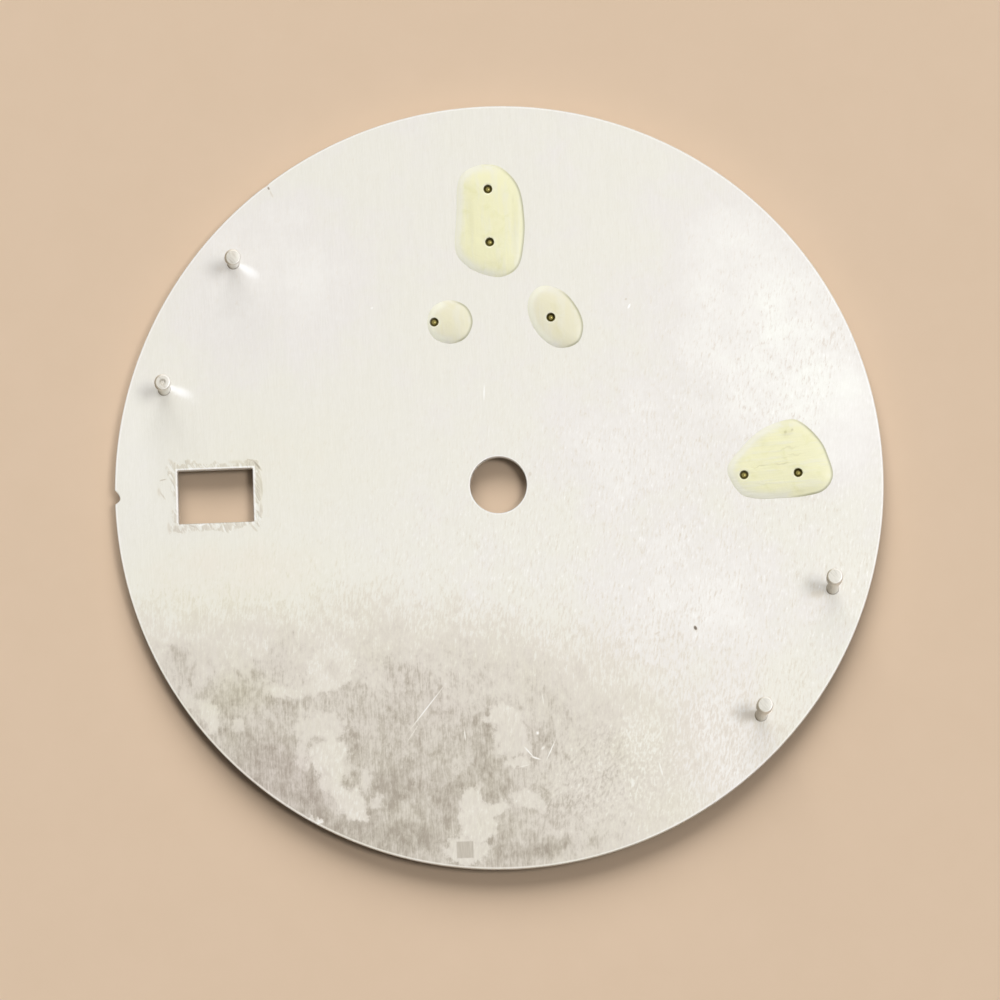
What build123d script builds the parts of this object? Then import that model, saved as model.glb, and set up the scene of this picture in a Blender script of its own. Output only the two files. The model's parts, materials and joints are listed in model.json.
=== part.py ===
from build123d import *
from math import cos, radians, sin
import os

os.makedirs("parts", exist_ok=True)

# A watch dial with a date window, modelled with its back up, as it lies on its face.
# All lengths are millimetres. The origin is the middle of the hand hole, in the plane of the
# back, which seats on the movement. +Z leaves the back, +Y points to twelve o'clock and +X to
# nine o'clock. Three o'clock and its date window are at -X.

# Plate: blanked brass sheet, plated and brushed on its back
dial_diameter = 28.5
plate_thickness = 0.40
rim_bevel = 0.05
hand_hole_diameter = 2.10

# Date window at three o'clock, measured along and across that radius
window_length = 2.80
window_height = 2.00
window_rim_distance = 2.35
window_bevel = 0.05

# Notch in the rim at three o'clock, which finds the dial in its case
notch_width = 0.65
notch_depth = 0.18

# Dial feet: cut wire, butt welded to the back in two pairs, 24 degrees apart, so that one
# plate fits a movement with its crown at three and one with its crown just below it
foot_diameter = 0.60
foot_length = 2.40
foot_rim_distance = 1.00
foot_weld_size = 0.07
foot_end_bevel = 0.04
foot_dimple_diameter = 0.20
foot_dimple_depth = 0.06
foot_cutter_rise = 0.07
crown_shift_angle = 24.0
first_foot_angle = -19.6
second_foot_angle = 161.7

# Feet of the applied pieces: thin pins with bevelled ends, in holes through plate and lacquer
pin_diameter = 0.26
pin_hole_clearance = 0.03
pin_stand = 0.06
pin_end_bevel = 0.05
marker_pin_pitch = 2.00
bar_pin_pitch = 4.34

# Front: lacquer coat and printing
lacquer_thickness = 0.05
lacquer_setback = 0.05
print_thickness = 0.03
track_margin = 0.35
track_line_width = 0.10
minute_tick_length = 0.50
minute_tick_width = 0.12
hour_tick_length = 0.75
hour_tick_width = 0.26

# Applied markers: bevelled frames, each with a pocket for its luminous filling
index_track_gap = 0.95
marker_end_lap = 1.00
marker_floor = 0.18
marker_pocket_depth = 0.24
marker_wall = 0.22
marker_bevel = 0.09
marker_corner_radius = 0.18
marker_12_outer_width = 2.70
marker_12_inner_width = 1.40
marker_9_width = 1.50
lume_side_clearance = 0.01
lume_recess = 0.03

# Plain applied bar below twelve o'clock
bar_end_lap = 0.83
bar_width = 0.80
bar_height = 0.30
bar_bevel = 0.08
bar_marker_gap = 1.52

# Luminous plots, printed thick
plot_diameter = 1.80
plot_height = 0.20
six_bar_length = 3.60
six_bar_width = 1.30
six_bar_corner_radius = 0.30

# Glue over the ends of the pins: the pad's width and height, past the pins that it covers
glue_thickness = 0.15
glue_shoulder = 0.09
glue_12_width = 2.58
glue_12_lap = 1.13
glue_9_height = 2.93
glue_9_lap = 0.94
glue_left_width = 1.70
glue_left_height = 1.66
glue_right_width = 2.04
glue_right_height = 2.34

# One overrun for everything that is cut right through
overrun = 0.20

# The largest shoulder that a pad can have, as a share of its thickness
shoulder_limit_share = 0.8

# Where each pad's middle lies from the middle of its pins, as shares of its width and height
glue_12_shift_shares = (0.01, -0.04)
glue_9_shift_shares = (0.085, 0.185)
glue_left_shift_shares = (0.34, 0.0)
glue_right_shift_shares = (0.08, 0.01)

# Outlines of the pads, as shares of half their width and height, from the lower left round
glue_12_outline_shares = (
    (-0.67, -0.80),
    (-0.13, -0.97),
    (0.36, -1.00),
    (0.78, -0.83),
    (0.95, -0.45),
    (0.50, 0.88),
    (-0.48, 0.95),
    (-0.85, 0.72),
    (-0.94, 0.10),
    (-1.00, -0.50),
)
glue_9_outline_shares = (
    (-0.50, -0.98),
    (-0.01, -1.00),
    (0.45, -0.97),
    (0.82, -0.84),
    (1.00, -0.48),
    (0.92, 0.04),
    (0.48, 0.88),
    (0.20, 1.00),
    (-0.76, 0.26),
    (-1.00, -0.22),
)
glue_left_outline_shares = (
    (-0.74, -0.70),
    (0.00, -1.00),
    (0.70, -0.73),
    (1.00, 0.00),
    (0.72, 0.70),
    (-0.72, 0.72),
)
glue_right_outline_shares = (
    (-0.72, -0.46),
    (-0.17, -0.92),
    (0.38, -1.00),
    (0.84, -0.80),
    (0.80, 0.26),
    (-0.42, 1.00),
    (-0.90, 0.70),
)

# Sizes worked out from those above
dial_radius = dial_diameter / 2
hand_hole_radius = hand_hole_diameter / 2
foot_radius = foot_diameter / 2
pin_radius = pin_diameter / 2
pin_hole_radius = pin_radius + pin_hole_clearance
notch_radius = (notch_width**2 / 4 + notch_depth**2) / (2 * notch_depth)
notch_place = (notch_depth - notch_radius - dial_radius, 0)
window_place = (window_rim_distance + window_length / 2 - dial_radius, 0)
back_face = 0
front_face = back_face - plate_thickness
print_face = front_face - lacquer_thickness
lacquer_radius = dial_radius - rim_bevel - lacquer_setback
track_radius = lacquer_radius - track_margin
foot_pitch_radius = dial_radius - foot_rim_distance - foot_radius
index_outer_radius = track_radius - hour_tick_length - index_track_gap
marker_length = marker_pin_pitch + 2 * marker_end_lap
marker_height = marker_floor + marker_pocket_depth
marker_inner_radius = index_outer_radius - marker_length
marker_pitch_radius = index_outer_radius - marker_length / 2
bar_length = bar_pin_pitch + 2 * bar_end_lap
bar_pitch_radius = marker_inner_radius - bar_marker_gap - bar_width / 2
plot_pitch_radius = index_outer_radius - plot_diameter / 2
six_bar_pitch_radius = index_outer_radius - six_bar_length / 2
glue_slope = min(glue_shoulder, glue_thickness * shoulder_limit_share)


def clock_place(hour, reach):
    """The place at a distance from the middle towards an hour, seen from the back."""
    angle = radians(90 + hour * 360 / 12)
    return (reach * cos(angle), reach * sin(angle))


# Places of the pins: in line with the radius under each marker, across it under the bar
pin_reaches = (
    marker_pitch_radius - marker_pin_pitch / 2,
    marker_pitch_radius + marker_pin_pitch / 2,
)
marker_12_pins = [clock_place(12, reach) for reach in pin_reaches]
marker_9_pins = [clock_place(9, reach) for reach in pin_reaches]
bar_left_pin = (-bar_pin_pitch / 2, bar_pitch_radius)
bar_right_pin = (bar_pin_pitch / 2, bar_pitch_radius)
all_pins = [*marker_12_pins, *marker_9_pins, bar_left_pin, bar_right_pin]


def save(part, name):
    """Labels a finished piece and writes it."""
    part.label = name
    export_step(part, f"parts/{name}.step")


# Plate: a bevelled disc with every opening cut through it
with BuildPart() as dial_plate:
    with BuildSketch(Plane.XY.offset(front_face)):
        Circle(dial_radius)
    extrude(amount=plate_thickness)
    chamfer(dial_plate.edges().filter_by(GeomType.CIRCLE), length=rim_bevel)
    with BuildSketch(Plane.XY.offset(front_face - overrun)):
        Circle(hand_hole_radius)
        with Locations(window_place):
            Rectangle(window_length, window_height)
        with Locations(notch_place):
            Circle(notch_radius)
        with Locations(*all_pins):
            Circle(pin_hole_radius)
    extrude(amount=plate_thickness + 2 * overrun, mode=Mode.SUBTRACT)
    # only the window has straight edges in the plane of the back
    window_edges = dial_plate.faces().sort_by(Axis.Z)[-1].edges().filter_by(GeomType.LINE)
    chamfer(window_edges, length=window_bevel)
save(dial_plate.part, "dial_plate")

# Lacquer coat: it stops short of the rim and of every opening but the pin holes
with BuildPart() as face_lacquer:
    with BuildSketch(Plane.XY.offset(print_face)):
        Circle(lacquer_radius)
        Circle(hand_hole_radius + lacquer_setback, mode=Mode.SUBTRACT)
        with Locations(window_place):
            Rectangle(
                window_length + 2 * lacquer_setback,
                window_height + 2 * lacquer_setback,
                mode=Mode.SUBTRACT,
            )
        with Locations(notch_place):
            Circle(notch_radius + lacquer_setback, mode=Mode.SUBTRACT)
        with Locations(*all_pins):
            Circle(pin_hole_radius, mode=Mode.SUBTRACT)
    extrude(amount=lacquer_thickness)
save(face_lacquer.part, "face_lacquer")

# Minute track: sixty printed ticks that hang from one printed line
with BuildPart() as minute_track:
    with BuildSketch(Plane.XY.offset(print_face - print_thickness)):
        Circle(track_radius)
        Circle(track_radius - track_line_width, mode=Mode.SUBTRACT)
        for count, length, width in (
            (60, minute_tick_length, minute_tick_width),
            (12, hour_tick_length, hour_tick_width),
        ):
            with PolarLocations(track_radius - track_line_width / 2, count, start_angle=90):
                Rectangle(length, width, align=(Align.MAX, Align.CENTER))
    extrude(amount=print_thickness)
save(minute_track.part, "minute_track")

# Dial feet: turned profile with its weld at the plate and a bevel at its cut end
foot_angles = {
    "dial_foot_8h": first_foot_angle,
    "dial_foot_7h": first_foot_angle - crown_shift_angle,
    "dial_foot_2h": second_foot_angle,
    "dial_foot_1h": second_foot_angle - crown_shift_angle,
}
for name, angle in foot_angles.items():
    foot_x = foot_pitch_radius * cos(radians(angle))
    foot_y = foot_pitch_radius * sin(radians(angle))
    foot_axis = Axis((foot_x, foot_y, back_face), (0, 0, 1))
    foot_plane = Plane((foot_x, foot_y, back_face), x_dir=(1, 0, 0), z_dir=(0, -1, 0))
    with BuildPart() as dial_foot:
        with BuildSketch(foot_plane):
            with BuildLine():
                Polyline(
                    (0, 0),
                    (foot_radius + foot_weld_size, 0),
                    (foot_radius, foot_weld_size),
                    (foot_radius, foot_length - foot_end_bevel),
                    (foot_radius - foot_end_bevel, foot_length),
                    (0, foot_length),
                    close=True,
                )
            make_face()
        revolve(axis=foot_axis)
        if name == "dial_foot_2h":
            # this end has a dimple
            with Locations((foot_x, foot_y, foot_length)):
                Cone(
                    0,
                    foot_dimple_diameter / 2,
                    foot_dimple_depth,
                    align=(Align.CENTER, Align.CENTER, Align.MAX),
                    mode=Mode.SUBTRACT,
                )
        if name == "dial_foot_1h":
            # this end was pinched off: two slopes fall away from a ridge
            with BuildSketch(foot_plane):
                for side in (-foot_radius, foot_radius):
                    with BuildLine():
                        Polyline(
                            (0, foot_length),
                            (side, foot_length - foot_cutter_rise),
                            (side, foot_length),
                            close=True,
                        )
                    make_face()
            extrude(amount=foot_radius, both=True, mode=Mode.SUBTRACT)
    save(dial_foot.part, name)


def marker_outline(plane, outer_width, inner_width, inset):
    """Outline of a marker on its plane, wider towards the rim and drawn in by the inset."""
    with BuildSketch(plane) as outline:
        with BuildLine():
            Polyline(
                (-outer_width / 2, index_outer_radius),
                (outer_width / 2, index_outer_radius),
                (inner_width / 2, marker_inner_radius),
                (-inner_width / 2, marker_inner_radius),
                close=True,
            )
        make_face()
        fillet(outline.vertices(), radius=marker_corner_radius)
        if inset > 0:
            offset(amount=-inset, mode=Mode.REPLACE)
    return outline.sketch


# One pin, from its seat on the lacquer to its end past the back; each applied piece has two
with BuildPart() as pin:
    with BuildSketch(Plane.XY.offset(print_face)):
        Circle(pin_radius)
    extrude(amount=pin_stand - print_face)
    chamfer(pin.faces().sort_by(Axis.Z)[-1].edges(), length=pin_end_bevel)


# Applied markers: a frame with its pocket and two pins, and the filling that lies in the pocket
marker_front = print_face - marker_height
twelve_plane = Plane.XY
nine_plane = Plane.XY.rotated((0, 0, -90))
markers = {
    "marker_12": (twelve_plane, marker_12_pins, marker_12_outer_width, marker_12_inner_width),
    "marker_9": (nine_plane, marker_9_pins, marker_9_width, marker_9_width),
}
for name, (radial_plane, pins, outer_width, inner_width) in markers.items():
    front_plane = radial_plane.offset(marker_front)
    with BuildPart() as marker:
        add(marker_outline(front_plane, outer_width, inner_width, 0))
        extrude(amount=marker_height)
        chamfer(marker.faces().sort_by(Axis.Z)[0].edges(), length=marker_bevel)
        add(marker_outline(front_plane, outer_width, inner_width, marker_wall))
        extrude(amount=marker_pocket_depth, mode=Mode.SUBTRACT)
        with Locations(*pins):
            add(pin.part)
    save(marker.part, name)
    with BuildPart() as lume:
        filling_inset = marker_wall + lume_side_clearance
        filling_plane = radial_plane.offset(marker_front + lume_recess)
        add(marker_outline(filling_plane, outer_width, inner_width, filling_inset))
        extrude(amount=marker_pocket_depth - lume_recess)
    save(lume.part, f"{name}_lume")

# Plain applied bar: rounded at both ends, bevelled all round, one pin near each end
with BuildPart() as applied_bar:
    with BuildSketch(Plane.XY.offset(print_face - bar_height)):
        with Locations((0, bar_pitch_radius)):
            SlotOverall(bar_length, bar_width)
    extrude(amount=bar_height)
    chamfer(applied_bar.faces().sort_by(Axis.Z)[0].edges(), length=bar_bevel)
    with Locations(bar_left_pin, bar_right_pin):
        add(pin.part)
save(applied_bar.part, "applied_bar")

# Luminous plots: round at the hours without an applied marker, a bar at six, none at the window
for hour in (1, 2, 4, 5, 7, 8, 10, 11):
    with BuildPart() as hour_plot:
        with BuildSketch(Plane.XY.offset(print_face - plot_height)):
            with Locations(clock_place(hour, plot_pitch_radius)):
                Circle(plot_diameter / 2)
        extrude(amount=plot_height)
    save(hour_plot.part, f"hour_plot_{hour}")

with BuildPart() as hour_bar:
    with BuildSketch(Plane.XY.offset(print_face - plot_height)):
        with Locations(clock_place(6, six_bar_pitch_radius)):
            RectangleRounded(six_bar_width, six_bar_length, six_bar_corner_radius)
    extrude(amount=plot_height)
save(hour_bar.part, "hour_bar_6")

# Glue pads: free outlines with sloping shoulders, open round the ends of the pins
glue_pads = {
    "glue_pad_12": (
        marker_12_pins,
        (glue_12_width, marker_pin_pitch + 2 * glue_12_lap),
        glue_12_shift_shares,
        glue_12_outline_shares,
    ),
    "glue_pad_9": (
        marker_9_pins,
        (marker_pin_pitch + 2 * glue_9_lap, glue_9_height),
        glue_9_shift_shares,
        glue_9_outline_shares,
    ),
    "glue_pad_bar_left": (
        [bar_left_pin],
        (glue_left_width, glue_left_height),
        glue_left_shift_shares,
        glue_left_outline_shares,
    ),
    "glue_pad_bar_right": (
        [bar_right_pin],
        (glue_right_width, glue_right_height),
        glue_right_shift_shares,
        glue_right_outline_shares,
    ),
}
for name, (pins, (width, height), shift_shares, outline_shares) in glue_pads.items():
    middle_x = sum(x for x, _ in pins) / len(pins) + shift_shares[0] * width
    middle_y = sum(y for _, y in pins) / len(pins) + shift_shares[1] * height
    outline_points = [
        (middle_x + across * width / 2, middle_y + along * height / 2)
        for across, along in outline_shares
    ]
    with BuildPart() as glue_pad:
        with BuildSketch(Plane.XY.offset(back_face)):
            with BuildLine():
                Spline(*outline_points, periodic=True)
            make_face()
        extrude(amount=glue_thickness)
        chamfer(glue_pad.faces().sort_by(Axis.Z)[-1].edges(), length=glue_slope)
        with BuildSketch(Plane.XY.offset(back_face)):
            with Locations(*pins):
                Circle(pin_hole_radius)
        extrude(amount=glue_thickness, mode=Mode.SUBTRACT)
    save(glue_pad.part, name)
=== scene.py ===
import json
import logging
import math
from collections.abc import Mapping, Sequence
from dataclasses import dataclass, field
from enum import Enum

import bmesh
import bpy
import numpy as np
from mathutils import Matrix, Vector


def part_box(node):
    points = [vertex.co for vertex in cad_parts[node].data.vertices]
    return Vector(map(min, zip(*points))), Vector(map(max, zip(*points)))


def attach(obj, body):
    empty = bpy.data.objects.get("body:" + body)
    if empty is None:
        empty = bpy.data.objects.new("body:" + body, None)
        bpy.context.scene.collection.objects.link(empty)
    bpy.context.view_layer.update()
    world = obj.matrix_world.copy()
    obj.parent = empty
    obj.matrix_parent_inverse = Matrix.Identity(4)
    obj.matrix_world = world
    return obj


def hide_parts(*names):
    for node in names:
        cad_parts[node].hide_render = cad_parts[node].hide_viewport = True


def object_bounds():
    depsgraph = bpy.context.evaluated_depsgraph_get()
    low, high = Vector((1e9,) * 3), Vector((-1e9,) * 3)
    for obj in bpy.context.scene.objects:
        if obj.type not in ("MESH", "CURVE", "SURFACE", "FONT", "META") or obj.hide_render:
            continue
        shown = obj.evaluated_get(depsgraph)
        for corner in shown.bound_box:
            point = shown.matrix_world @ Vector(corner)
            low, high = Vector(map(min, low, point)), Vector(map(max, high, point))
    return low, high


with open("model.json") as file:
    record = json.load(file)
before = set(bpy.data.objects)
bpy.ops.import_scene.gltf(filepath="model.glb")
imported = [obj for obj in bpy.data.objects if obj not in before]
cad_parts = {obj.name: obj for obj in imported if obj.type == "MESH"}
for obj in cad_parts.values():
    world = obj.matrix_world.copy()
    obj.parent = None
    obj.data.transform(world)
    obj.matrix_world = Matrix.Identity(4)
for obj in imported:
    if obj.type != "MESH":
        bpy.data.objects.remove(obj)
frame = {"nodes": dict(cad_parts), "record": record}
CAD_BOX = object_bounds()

# A watch dial that lies on its face, seen from the back. Sizes are millimetres in the dataclasses
# and metres in the meshes. +X points to nine o'clock, +Y to twelve and +Z out of the back.
MM = 0.001
BODY = "root"
CORNERS = ((1, 1), (-1, 1), (-1, -1), (1, -1))
log = logging.getLogger("watch_dial")

Point = tuple[float, float]
Ring = list[Vector]
Stops = Sequence[tuple[float, str]]


# Nodes


def linear(colour: str) -> tuple[float, ...]:
    """Turns an sRGB hex colour into linear light, with an alpha of 1."""
    parts = (int(colour[place : place + 2], 16) / 255 for place in (1, 3, 5))
    return (*(part / 12.92 if part <= 0.04045 else ((part + 0.055) / 1.055) ** 2.4 for part in parts), 1.0)


def add_node(
    tree: bpy.types.NodeTree,
    kind: str,
    inputs: Mapping[str | int, object] | None = None,
    output: str | int = 0,
    stops: Stops = (),
    **settings: object,
) -> "Value | None":
    """Adds a node with its settings, values and links.

    Args:
        tree: The tree that gets the node.
        kind: The node's type.
        inputs: What goes into its sockets, by name or number: a value to link, a number or a hex colour.
        output: The output that comes back.
        stops: The positions and hex colours of a colour ramp.
        **settings: The node's own properties, set before its sockets.

    Returns:
        The output, or None if the node has none.
    """
    node = tree.nodes.new(kind)
    for name, value in settings.items():
        setattr(node, name, value)
    for index, (position, colour) in enumerate(stops):
        elements = node.color_ramp.elements
        stop = elements[index] if index < len(elements) else elements.new(1.0)
        stop.position, stop.color = position, linear(colour)
    for name, value in (inputs or {}).items():
        if isinstance(value, Value):
            tree.links.new(value.socket, node.inputs[name])
        else:
            node.inputs[name].default_value = linear(value) if isinstance(value, str) else value
    return Value(node.outputs[output]) if node.outputs else None


class Work(Enum):
    """What values go through: a node with its settings, their sockets in order, and the output."""

    SOFT_STEP = ("ShaderNodeMapRange", {"interpolation_type": "SMOOTHSTEP"}, (0, 1, 2, 3, 4), 0)
    MIX = ("ShaderNodeMix", {"data_type": "FLOAT"}, (0, 2, 3), 0)
    BLEND = ("ShaderNodeMix", {"data_type": "RGBA"}, (0, 6, 7), 2)
    SOFT_LIGHT = ("ShaderNodeMix", {"data_type": "RGBA", "blend_type": "SOFT_LIGHT"}, (0, 6, 7), 2)
    MAXIMUM = ("ShaderNodeMath", {"operation": "MAXIMUM"}, (0, 1), 0)
    MINIMUM = ("ShaderNodeMath", {"operation": "MINIMUM"}, (0, 1), 0)
    REMAINDER = ("ShaderNodeMath", {"operation": "MODULO"}, (0, 1), 0)
    QUOTIENT = ("ShaderNodeMath", {"operation": "DIVIDE"}, (0, 1), 0)
    POWER = ("ShaderNodeMath", {"operation": "POWER"}, (0, 1), 0)
    ROOT = ("ShaderNodeMath", {"operation": "SQRT"}, (0,), 0)
    ABSOLUTE = ("ShaderNodeMath", {"operation": "ABSOLUTE"}, (0,), 0)
    LENGTH = ("ShaderNodeVectorMath", {"operation": "LENGTH"}, (0,), 1)


class Value:
    """What comes out of a node: a number, a vector or a colour, to be worked on further."""

    def __init__(self, socket: bpy.types.NodeSocket) -> None:
        """Keeps the output, the tree that it is in, and the node that its sums take.

        Args:
            socket: The node's output.
        """
        self.socket = socket
        self.tree = socket.id_data
        self.sums = "ShaderNodeVectorMath" if socket.type in ("VECTOR", "RGBA") else "ShaderNodeMath"

    def __add__(self, other: object) -> "Value":
        """The sum with another."""
        return add_node(self.tree, self.sums, {0: self, 1: other}, operation="ADD")

    def __sub__(self, other: object) -> "Value":
        """The difference from another."""
        return add_node(self.tree, self.sums, {0: self, 1: other}, operation="SUBTRACT")

    def __mul__(self, other: object) -> "Value":
        """The product with another."""
        return add_node(self.tree, self.sums, {0: self, 1: other}, operation="MULTIPLY")

    def sway(self, amount: float, level: object = 0.0) -> "Value":
        """A level that this value, which lies about a half, moves up and down."""
        return (self - 0.5) * amount + level

    def through(self, work: Work, *others: object) -> "Value":
        """Puts this value and others through one kind of work.

        Args:
            work: The kind of work.
            *others: What its other sockets get, in order.

        Returns:
            What comes out.
        """
        kind, settings, sockets, output = work.value
        return add_node(self.tree, kind, dict(zip(sockets, (self, *others))), output, **settings)


# Shapes


def box(node: str) -> tuple[Vector, Vector]:
    """The middle and the size of a CAD node's box, in millimetres."""
    low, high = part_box(node)
    return (low + high) / 2 / MM, (high - low) / MM


def mount(name: str) -> Mapping[str, object]:
    """One mount of the record."""
    return next(item for item in frame["record"]["mounts"] if item["name"] == name)


def direction(bearing: float, height: float) -> Vector:
    """The way to something at a bearing and height in degrees."""
    turn, rise = math.radians(bearing), math.radians(height)
    return Vector((math.cos(rise) * math.cos(turn), math.cos(rise) * math.sin(turn), math.sin(rise)))


def closed_curve(points: Sequence[Point], steps: int) -> Ring:
    """Runs a smooth closed curve through points.

    Args:
        points: The places that it passes, in order round.
        steps: How many samples each stretch gets.

    Returns:
        The samples, flat at height 0.
    """
    places = [Vector((x, y, 0)) for x, y in points]
    samples = []
    for index in range(len(places)):
        before, start, end, after = (places[(index + shift) % len(places)] for shift in (-1, 0, 1, 2))
        for share in (step / steps for step in range(steps)):
            bend = (2 * before - 5 * start + 4 * end - after) * share**2
            twist = (3 * start - before - 3 * end + after) * share**3
            samples.append((2 * start + (end - before) * share + bend + twist) / 2)
    return samples


def arc(centre: Point, radius: float, start: float, end: float, steps: int, height: float = 0.0) -> Ring:
    """Samples an arc between two angles in degrees, without its last point."""
    angles = (math.radians(start + (end - start) * step / steps) for step in range(steps))
    return [Vector((centre[0] + radius * math.cos(a), centre[1] + radius * math.sin(a), height)) for a in angles]


def whole_arc(centre: Point, radius: float, start: float, steps: int, height: float) -> Ring:
    """Samples a quarter turn from an angle in degrees, with its last point."""
    return arc(centre, radius, start, start + 90, steps, height) + arc(centre, radius, start + 90, 0, 1, height)


def mesh_from_rings(rings: Sequence[Ring], name: str) -> bpy.types.Mesh:
    """Joins rings of equal count into a closed skin.

    Args:
        rings: The rings in order, in millimetres, each going the same way round.
        name: The mesh's name.

    Returns:
        The mesh in metres, its faces pointing outwards.
    """
    shell = bmesh.new()
    rows = [[shell.verts.new(point * MM) for point in ring] for ring in rings]
    for low, high in zip(rows, rows[1:]):
        for index in range(len(low)):
            after = (index + 1) % len(low)
            shell.faces.new((low[index], low[after], high[after], high[index]))
    shell.faces.new(rows[0])
    shell.faces.new(rows[-1])
    bmesh.ops.recalc_face_normals(shell, faces=shell.faces)
    mesh = bpy.data.meshes.new(name)
    shell.to_mesh(mesh)
    shell.free()
    return mesh


def turned(profile: Sequence[Point], centre: Point, count: int) -> list[Ring]:
    """Turns a profile of radius and height about an upright axis, with so many points to a ring."""
    return [arc(centre, radius, 0, 360, count, height) for radius, height in profile]


def plain_mesh(carrier: bpy.types.Object, name: str) -> bpy.types.Mesh:
    """Keeps a carrier's evaluated shape as a plain mesh and removes the carrier.

    Args:
        carrier: The object that has the shape.
        name: The mesh's name.

    Returns:
        The mesh.
    """
    bpy.context.scene.collection.objects.link(carrier)
    mesh = bpy.data.meshes.new_from_object(carrier.evaluated_get(bpy.context.evaluated_depsgraph_get()))
    mesh.name = name
    bpy.data.objects.remove(carrier)
    return mesh


def add_attribute(mesh: bpy.types.Mesh, name: str, values: Sequence[float]) -> None:
    """Gives each point of a mesh a number that its finish reads."""
    mesh.attributes.new(name, "FLOAT", "POINT").data.foreach_set("value", values)


def place_piece(
    mesh: bpy.types.Mesh, material: bpy.types.Material, stands_for: Sequence[str], crease: float = 35.0
) -> bpy.types.Object:
    """Puts a finished mesh into the scene as a piece of the dial, with the mesh's name.

    Args:
        mesh: The finished mesh, in metres and in place.
        material: Its finish.
        stands_for: The CAD nodes that it replaces.
        crease: The angle in degrees past which an edge stays sharp.

    Returns:
        The piece.
    """
    mesh.materials.clear()
    mesh.materials.append(material)
    mesh.shade_smooth()
    mesh.set_sharp_from_angle(angle=math.radians(crease))
    for face in mesh.polygons:
        face.use_smooth = abs(face.normal.z) < 0.9999
    piece = bpy.data.objects.new(mesh.name, mesh)
    bpy.context.scene.collection.objects.link(piece)
    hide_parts(*stands_for)
    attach(piece, BODY)
    return piece


def dress_node(name: str, material: bpy.types.Material) -> bpy.types.Object:
    """Gives a CAD node whose shape is right its finish.

    Args:
        name: The node's name.
        material: Its finish.

    Returns:
        The node.
    """
    node = frame["nodes"][name]
    node.data.materials.clear()
    node.data.materials.append(material)
    return node


def start_tree(name: str, sizes: Mapping[str, float]) -> list[Value]:
    """Starts a Geometry Nodes tree with named inputs.

    Args:
        name: The tree's name.
        sizes: What it reads, by name.

    Returns:
        Its inputs, one for each size.
    """
    tree = bpy.data.node_groups.new(name, "GeometryNodeTree")
    tree.interface.new_socket("Geometry", in_out="OUTPUT", socket_type="NodeSocketGeometry")
    for size in sizes:
        tree.interface.new_socket(size, in_out="INPUT", socket_type="NodeSocketFloat")
    given = tree.nodes.new("NodeGroupInput")
    return [Value(given.outputs[size]) for size in sizes]


def grow(
    geometry: Value, lift: Value, name: str, sizes: Mapping[str, float], material: bpy.types.Material
) -> bpy.types.Mesh:
    """Ends a Geometry Nodes tree, runs it and keeps what it makes as a plain mesh.

    Args:
        geometry: What the tree has made so far.
        lift: How high that goes.
        name: The mesh's name.
        sizes: The tree's inputs by name, in metres or as plain numbers.
        material: The finish.

    Returns:
        The mesh.
    """
    tree = geometry.tree
    shift = add_node(tree, "ShaderNodeCombineXYZ", {2: lift})
    placed = add_node(tree, "GeometryNodeTransform", {"Geometry": geometry, "Translation": shift})
    real = add_node(tree, "GeometryNodeRealizeInstances", {"Geometry": placed})
    dressed = add_node(tree, "GeometryNodeSetMaterial", {"Geometry": real, "Material": material})
    add_node(tree, "NodeGroupOutput", {"Geometry": dressed})
    carrier = bpy.data.objects.new(f"{name}_carrier", bpy.data.meshes.new(f"{name}_seed"))
    modifier = carrier.modifiers.new("pattern", "NODES")
    modifier.node_group = tree
    for socket in tree.interface.items_tree:
        if socket.in_out == "INPUT":
            modifier[socket.identifier] = sizes[socket.name]
    return plain_mesh(carrier, name)


# Finishes


@dataclass(frozen=True)
class Patch:
    """An oval place where a finish has another level. Places and half sizes are millimetres."""

    name: str
    x: float
    y: float
    half_x: float
    half_y: float
    level: float
    strength: float
    turn: float
    core: float


def patches(*rows: tuple) -> tuple[Patch, ...]:
    """Makes a patch of each row of values."""
    return tuple(Patch(*row) for row in rows)


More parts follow.
